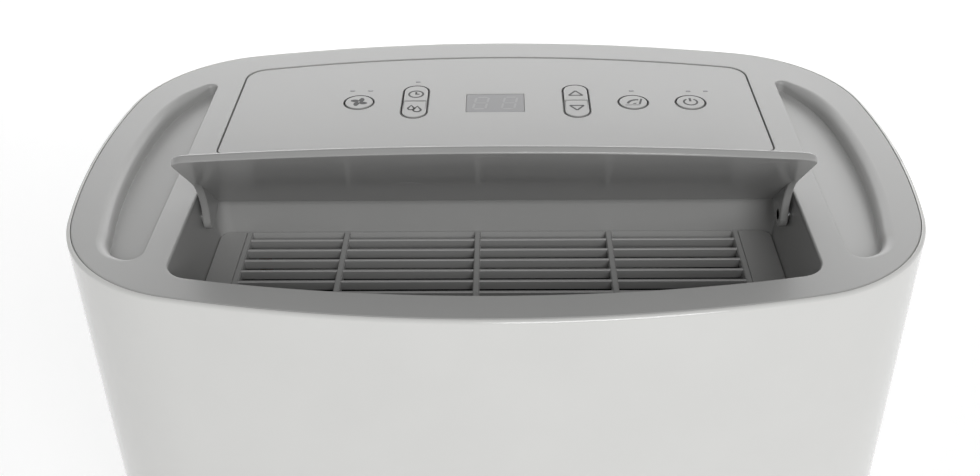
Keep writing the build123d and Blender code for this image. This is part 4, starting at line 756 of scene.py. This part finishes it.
class DEHUMIDIFIER_OT_control_panel(bpy.types.Operator):
    """Make the control panel with openings for keys, lenses and window, and the window with its digits"""

    bl_idname = "dehumidifier.control_panel"
    bl_label = "Control panel"

    def execute(self, context):
        panel = context.scene.panel_sizes
        low, top = PANEL_TOP - panel.thick, PANEL_TOP
        plate = Moulding()
        edge = outline(bowed_arcs(panel.half, panel.front, panel.front_corner, panel.back, panel.bow, panel.corner))
        edge = (grown(edge, -panel.groove), edge[1])
        plate.carry(edge, ((0, low), rounding(panel.edge, -panel.edge, top - panel.edge, 0, 90, 5),
                           (-panel.edge - 0.2, top)))
        window_low, window_high = span("display_window")
        openings = [box_arcs(window_low[:2] - 0.1, window_high[:2] + 0.1, 0.4)]
        for key in ROUND_KEYS:
            x, y = (span(key)[0] + span(key)[1])[:2] / 2
            openings.append(ring_arcs(x, y, panel.round_key))
        for key in UPPER_KEYS:
            x = (span(key)[0] + span(key)[1])[0] / 2
            openings.append(slot_arcs(x, panel.pair_y, panel.pair_length, panel.pair_width))
        for x, y in LENS_PLACES:
            openings.append(slot_arcs(x, y, LENS_LENGTH, LENS_WIDTH, upright=False))
        upper_loops, lower_loops = [grown(edge, -panel.edge - 0.2)], [grown(edge, 0)]
        for arcs in openings:
            hole, round_off = outline(arcs, 2.0, 10.0), 0.2
            plate.carry(hole, ((round_off + 0.1, top), rounding(round_off, round_off, top - round_off, 90, 180, 4),
                               (0, low)))
            # Round each key opening a ring of dark ink is painted on the edge: painted shade for the gap round the
            # key.
            if arcs[0][2] > LENS_WIDTH:
                plate.stroke(grown(hole, panel.ring / 2), panel.ring, top - round_off, top + panel.ink, True, 1)
            upper_loops.append(grown(hole, round_off + 0.1))
            lower_loops.append(grown(hole, 0))
        plate.sheet(upper_loops, top)
        plate.sheet(lower_loops, low, up=False)
        plate.build("control_panel_satin", "control_panel", "ink")
        self.window(window_low, window_high)
        return {"FINISHED"}

    def window(self, low, high):
        """The window is a flat plate with a small chamfer; two unlit digits show faintly in it."""
        glass = Moulding()
        path = outline(box_arcs(low[:2], high[:2], 0.4), 2.0, 15.0)
        top = high[2]
        glass.carry(path, ((0, low[2]), (0, top - 0.15), (-0.15, top)))
        glass.sheet([grown(path, -0.15)], top)
        glass.sheet([path[0]], low[2], up=False)
        middle = (low + high)[:2] / 2
        slant = np.tan(radians(8.0))
        wide, tall = 3.2, 6.4
        bars = [((-wide, y), (wide, y)) for y in (-tall, 0, tall)]
        bars += [((x, y), (x, y + tall)) for x in (-wide, wide) for y in (-tall, 0)]
        for digit_x in (-7.4, 7.4):
            for a, b in np.array(bars):
                along = (b - a) / np.linalg.norm(b - a)
                line = np.stack((a + 0.5 * along, a + 1.2 * along, b - 1.2 * along, b - 0.5 * along))
                line = line + np.column_stack((line[:, 1] * slant, np.zeros(4))) + middle + (digit_x, 0)
                glass.stroke(line, (0.4, 1.1, 1.1, 0.4), top - 0.02, top + 0.015, finish=1)
        glass.build("display_window_tinted", "display_window", "digit")


def along_x(points):
    """A shape drawn as (Y, Z) with its height along X."""
    return points[:, (2, 0, 1)]


class DEHUMIDIFIER_OT_outlet_flap(bpy.types.Operator):
    """Make the flap: a thin plate with soft edges, two pivot ears, and three faint ejector marks below"""

    bl_idname = "dehumidifier.outlet_flap"
    bl_label = "Outlet flap"

    def execute(self, context):
        size, flap, ears = context.scene.flap_sizes, Moulding(), Moulding()
        top, under = DECK_Z, DECK_Z - size.thick
        plan = outline(bowed_arcs(size.half, -size.back, 3.0, -size.front, size.bow, size.corner), 4.0)
        up, down = size.upper_edge, size.lower_edge
        flap.carry(plan, ((-down - 0.2, under), rounding(down, -down, under + down, -90, 0, 6),
                          rounding(up, -up, top - up, 0, 90, 9), (-up - 0.2, top)))
        flap.sheet([grown(plan, -up - 0.2)], top)
        flap.sheet([grown(plan, -down - 0.2)], under, up=False)
        root, waist, neck, heel = (-62, under), (-47.9, under - 3), (-37, HINGE_Z - 3.5), (-23, under)
        y, z, radius = circle_through(root, waist, neck)
        start, end = (degrees(atan2(point[1] - z, point[0] - y)) for point in (root, neck))
        side = np.vstack(((root[0], under + 0.6), bow_line(y, z, radius, start, end, 17),
                          bow_line(HINGE_Y, HINGE_Z, size.boss, -138, -5, 17), heel, (heel[0], under + 0.6)))
        ear_out = size.half - 0.2
        for ear_x in (-ear_out, ear_out - size.ear):
            ears.slab(side, ear_x, ear_x + size.ear, edge=0.4)
        ears.slab(bow_line(HINGE_Y, HINGE_Z, size.pin, 0, 345, 24), -ear_out - 8, -ear_out + 0.5, edge=0.3)
        flap.take(ears, along_x)
        for place_of_mark in MARK_PLACES:
            flap.slab(bow_line(*place_of_mark, MARK_RADIUS, 0, 350, 36), under - MARK_HEIGHT, under + 0.2)
        solid = np.concatenate(flap.points)
        out, rise = solid[:, 1] - HINGE_Y, solid[:, 2] - HINGE_Z
        cosine, sine = cos(-size.opened), sin(-size.opened)
        solid[:, 1] = HINGE_Y + out * cosine - rise * sine
        solid[:, 2] = HINGE_Z + out * sine + rise * cosine
        flap.points = [solid]
        flap.build("outlet_flap_polished", "outlet_flap")
        return {"FINISHED"}


class DEHUMIDIFIER_OT_outlet_grille(bpy.types.Operator):
    """Make the outlet grille: a frame, leaning slats with round tops, and ribs flush with them"""

    bl_idname = "dehumidifier.outlet_grille"
    bl_label = "Outlet grille"

    def execute(self, context):
        size, well, grille, slats = context.scene.grille_sizes, context.scene.outlet_sizes, Moulding(), Moulding()
        top, inset = DECK_Z - well.depth, size.margin
        low = top - size.plate
        plan = outline(bowed_arcs(well.half - inset, well.back - inset, well.back_corner - inset,
                                  well.front + inset, well.bow - inset, well.corner - inset), 4.0)
        hole = outline(box_arcs((-size.left, -size.open_front), (size.right, -size.open_back), 0.3), 8.0, 30.0)
        grille.carry(plan, ((0, low), (0, top)))
        grille.carry(hole, ((0, top), (0, low)))
        grille.sheet([plan[0], hole[0]], top)
        grille.sheet([plan[0], hole[0]], low, up=False)
        angle, half, crown = np.radians(np.linspace(0, 180, 9)), size.thick / 2, 0.6
        for i in range(size.count):
            y = -size.first - size.pitch * i - half
            crest = np.stack((y + half * np.cos(angle), top - crown + crown * np.sin(angle)), 1)
            foot = ((y - half + size.lean, top - size.drop), (y + half + size.lean, top - size.drop))
            slats.slab(np.vstack((crest, foot)), -size.left - 0.2, size.right + 0.2)
        grille.take(slats, along_x)
        for x in (-size.left + size.rib / 2, *RIBS_X, size.right - size.rib / 2):
            front, back = (x - size.rib / 2, -size.open_front - 0.2), (x + size.rib / 2, -size.open_back + 0.2)
            rib = outline(box_arcs(front, back, 0.2), 8.0, 45.0)
            grille.carry(rib, ((0, low), (0, top - 0.35), (-0.35, top + 0.02)))
            grille.sheet([grown(rib, -0.35)], top + 0.02)
            grille.sheet([rib[0]], low, up=False)
        grille.build("outlet_grille_slats", "outlet_grille")
        return {"FINISHED"}


class DEHUMIDIFIER_OT_keys(bpy.types.Operator):
    """Make the seven keys with their printed signs"""

    bl_idname = "dehumidifier.keys"
    bl_label = "Keys"

    def execute(self, context):
        panel = context.scene.panel_sizes
        for key in KEYS:
            low, high = span(key)
            top, cap = high[2], Moulding()
            middle = (low + high)[:2] / 2
            flange = top - panel.flange_drop
            if key in ROUND_KEYS:
                body = outline(ring_arcs(*middle, panel.round_key - panel.key_gap), 1.2, 10.0)
                wide = outline(ring_arcs(*middle, panel.round_key + panel.flange), 1.2, 10.0)
            else:
                upper = 1 if key in UPPER_KEYS else -1
                body = half_slot(panel, middle[0], upper, -panel.key_gap, panel.key_gap + 0.2)
                wide = half_slot(panel, middle[0], upper, panel.flange, panel.key_gap)
                middle = np.array((middle[0], panel.pair_y + upper * 8.0))
            edge = panel.key_edge
            cap.carry(body, ((0, flange), rounding(edge, -edge, top - edge, 0, 90, 6), (-edge - 0.15, top)))
            cap.sheet([grown(body, -edge - 0.15)], top)
            cap.carry(wide, ((0, flange - 1.0), (0, flange)))
            cap.sheet([wide[0], body[0]], flange)
            cap.sheet([wide[0]], flange - 1.0, up=False)
            stem = outline(ring_arcs(*middle, 2.0), 1.0, 20.0)
            cap.carry(stem, ((-2.0, low[2]), (0, low[2]), (0, flange - 1.0)))
            sign(cap, key, middle, top - 0.01, top + panel.ink, panel.line)
            cap.build(key + "_printed", key, "ink")
        return {"FINISHED"}


def half_slot(panel, x, upper, by, divide):
    """Half of the opening that two keys share, grown outwards by some mm: a half circle at the far end and
    square corners at the divider."""
    radius, corner = panel.pair_width / 2 + by, 0.3
    arcs = [(0, (panel.pair_length - panel.pair_width) / 2, radius, 0, 180),
            (corner - radius, divide / 2, corner, 180, 270), (radius - corner, divide / 2, corner, 270, 360)]
    turn = 0 if upper > 0 else 180
    return outline([(x + upper * across, panel.pair_y + upper * along, bend, start + turn, end + turn)
                    for across, along, bend, start, end in arcs], 1.2, 10.0)


def bow_line(x, y, radius, start, end, count=25):
    """Points on an arc, in degrees."""
    angle = np.radians(np.linspace(start, end, count))
    return np.stack((x + radius * np.cos(angle), y + radius * np.sin(angle)), 1)


def sign(cap, key, middle, low, high, line):
    """Draws a key's sign as thin raised lines about the key's middle."""
    middle = np.asarray(middle, float)

    def stroke(points, width=line, closed=False):
        cap.stroke(np.asarray(points, float) + middle, width, low, high, closed, 1)

    if key == "fan_key":
        u = np.linspace(0, 1, 12)
        for turn in range(4):
            angle = radians(turn * 90 + 45) + 0.55 * u
            blade = np.stack(((0.4 + 4.2 * u) * np.cos(angle), (0.4 + 4.2 * u) * np.sin(angle)), 1)
            stroke(blade, 0.2 + 2.7 * np.sqrt(np.sin(np.pi * u**0.85)))
    elif key == "timer_key":
        stroke(bow_line(0, 0, 3.7, 0, 350), closed=True)
        stroke(((0, 2.5), (0, 1.25), (0, -line / 2)))
        stroke(((0, 0), (0.9, 0), (1.8, 0)))
    elif key == "humidity_key":
        for x, y, size in ((-1.7, 0.9, 1.05), (1.5, -0.7, 1.3)):
            drop = np.vstack((bow_line(x, y - 0.8 * size, 1.5 * size, -220, 40), (x, y + 2.4 * size)))
            stroke(drop, closed=True)
    elif key in ("up_key", "down_key"):
        up = 1 if key == "up_key" else -1
        corners = np.array(((-3.6, -2.3 * up), (3.6, -2.3 * up), (0, 2.9 * up)))
        for a, b in zip(corners, np.roll(corners, -1, 0)):
            stroke(np.linspace(a, b, 3))
    elif key == "louver_key":
        stroke(bow_line(1.9, -2.6, 4.8, 172, 79), 1.4)
        stroke(((-4.3, -3.5), (-0.6, -3.5), (3.1, -3.5)), 0.5)
        stroke(((3.1, -2.7), (3.8, 0.3), (4.5, 3.3)), 1.1)
        stroke(((-0.3, -2.2), (0.7, -1.9), (1.7, -1.3)), (0.3, 1.2, 0.3))
    else:
        stroke(bow_line(0, 0, 3.4, 122, 418))
        stroke(((0, 0.6), (0, 2.4), (0, 4.2)), 1.2)


class DEHUMIDIFIER_OT_soft_edges(bpy.types.Operator):
    """Round the edges of the moulded pieces that keep their CAD shape"""

    bl_idname = "dehumidifier.soft_edges"
    bl_label = "Soft edges"

    def execute(self, context):
        # The rear shell is only merged: its thin lips are too close together for a bevel.
        for node, edge in (("rear_shell", 0.0), ("water_tank", 0.6), ("tank_lid", 0.4), ("intake_grille", 0.4),
                           ("air_filter", 0.3), ("drain_spigot", 0.3), ("cord_gland", 0.4), ("base_pan", 0.4),
                           ("tank_float", 0.6)):
            softened(node, edge)
        return {"FINISHED"}


class DEHUMIDIFIER_OT_stage(bpy.types.Operator):
    """Make the pale floor and backdrop, the soft studio lights and the camera"""

    bl_idname = "dehumidifier.stage"
    bl_label = "Stage"

    def execute(self, context):
        scene = context.scene
        scene.view_settings.view_transform = "Standard"
        scene.view_settings.look = "None"
        sweep = Moulding()
        turn = np.radians(np.linspace(0, 90, 13))
        reach, foot, bend, height = 30000.0, 3500.0, 1500.0, 6000.0
        y = np.concatenate(([-reach], foot + bend * np.sin(turn), [foot + bend]))
        z = np.concatenate(([0.0], bend - bend * np.cos(turn), [height]))
        x = np.linspace(-reach, reach, 3)
        sweep.grid(np.stack(np.broadcast_arrays(x[:, None], y[None, :], z[None, :]), 2))
        mesh = bpy.data.meshes.new("studio_sweep")
        mesh.from_pydata(np.concatenate(sweep.points) * MM, [], sweep.faces)
        floor = bpy.data.objects.new("studio_sweep", mesh)
        scene.collection.objects.link(floor)
        # Matt painted wood, almost white; a faint glow keeps it white where the lamps fall off.
        paper, tree, shader, where = start_material("matt_white_sweep", {
            "IOR": 1.45, "Emission Strength": 0.16, "Emission Color": (1, 1, 1, 1)})
        shade_by(tree, shader, where, "#FAFAFA", 400.0, 0.004, 0.9, 0.02)
        mesh.materials.append(paper)
        world = bpy.data.worlds.new("studio_air")
        scene.world = world
        world.use_nodes = True
        background = next(node for node in world.node_tree.nodes if node.type == "BACKGROUND")
        background.inputs["Color"].default_value = (1, 1, 1, 1)
        background.inputs["Strength"].default_value = 0.4
        for name, spot, aim, size, power in (
            ("background_softbox", (0.2, 2.4, 0.75), (0, 0, 0.6), 3.0, 58.0),
            ("key_softbox", (0.6, -2.35, 1.9), (0, 0, 0.45), 1.3, 37.5),
        ):
            lamp = bpy.data.lights.new(name, "AREA")
            lamp.shape, lamp.size, lamp.energy = "SQUARE", size, power
            light = bpy.data.objects.new(name, lamp)
            scene.collection.objects.link(light)
            light.location = spot
            light.rotation_mode = "QUATERNION"
            light.rotation_quaternion = (Vector(aim) - Vector(spot)).to_track_quat("-Z", "Y")
        self.camera(scene)
        return {"FINISHED"}

    def camera(self, scene):
        """The camera looks down at the deck: forward f from its yaw and pitch, right r, both rolled about f."""
        pitch, yaw, roll = 0.5896862, -0.0159599, 0.0128895
        forward = Vector((sin(yaw) * cos(pitch), cos(yaw) * cos(pitch), -sin(pitch)))
        right = Vector((cos(yaw), -sin(yaw), 0))
        down = forward.cross(right)
        across = cos(roll) * right + sin(roll) * down
        below = -sin(roll) * right + cos(roll) * down
        data = bpy.data.cameras.new("camera")
        data.lens, data.sensor_width = 43.03, 36.0
        data.clip_start, data.clip_end = 0.02, 60.0
        camera = bpy.data.objects.new("camera", data)
        scene.collection.objects.link(camera)
        turned = Matrix((across, -below, -forward)).transposed().to_4x4()
        camera.matrix_world = Matrix.Translation((0.00504, -0.48784, 0.77890)) @ turned
        scene.camera = camera


class DEHUMIDIFIER_PT_panel(bpy.types.Panel):
    """Lists the sizes, colours and steps"""

    bl_label = "Dehumidifier"
    bl_idname = "DEHUMIDIFIER_PT_panel"
    bl_space_type = "VIEW_3D"
    bl_region_type = "UI"
    bl_category = "Dehumidifier"

    def draw(self, context):
        for name, group in GROUPS.items():
            box = self.layout.box()
            box.label(text=name.replace("_", " ").capitalize())
            for field in group.__annotations__:
                box.prop(getattr(context.scene, name), field)
        for operator in OPERATORS:
            self.layout.operator(operator.bl_idname)


GROUPS = {"case_sizes": CaseSizes, "outlet_sizes": OutletSizes, "pocket_sizes": PocketSizes,
          "panel_sizes": PanelSizes, "flap_sizes": FlapSizes, "grille_sizes": GrilleSizes,
          "finish_colours": FinishColours}
OPERATORS = (DEHUMIDIFIER_OT_finishes, DEHUMIDIFIER_OT_stage, DEHUMIDIFIER_OT_front_shell, DEHUMIDIFIER_OT_top_deck,
             DEHUMIDIFIER_OT_outlet_grille, DEHUMIDIFIER_OT_outlet_flap, DEHUMIDIFIER_OT_control_panel,
             DEHUMIDIFIER_OT_keys, DEHUMIDIFIER_OT_soft_edges)


def register():
    """Registers the groups, operators and panel."""
    for made in (*GROUPS.values(), *OPERATORS, DEHUMIDIFIER_PT_panel):
        bpy.utils.register_class(made)
    for name, group in GROUPS.items():
        setattr(bpy.types.Scene, name, bpy.props.PointerProperty(type=group))


def unregister():
    """Removes them again."""
    for name in GROUPS:
        delattr(bpy.types.Scene, name)
    for made in reversed((*GROUPS.values(), *OPERATORS, DEHUMIDIFIER_PT_panel)):
        bpy.utils.unregister_class(made)


def main():
    """Makes every piece in order."""
    register()
    for operator in OPERATORS:
        group, name = operator.bl_idname.split(".")
        getattr(getattr(bpy.ops, group), name)()


if __name__ == "__main__":
    main()
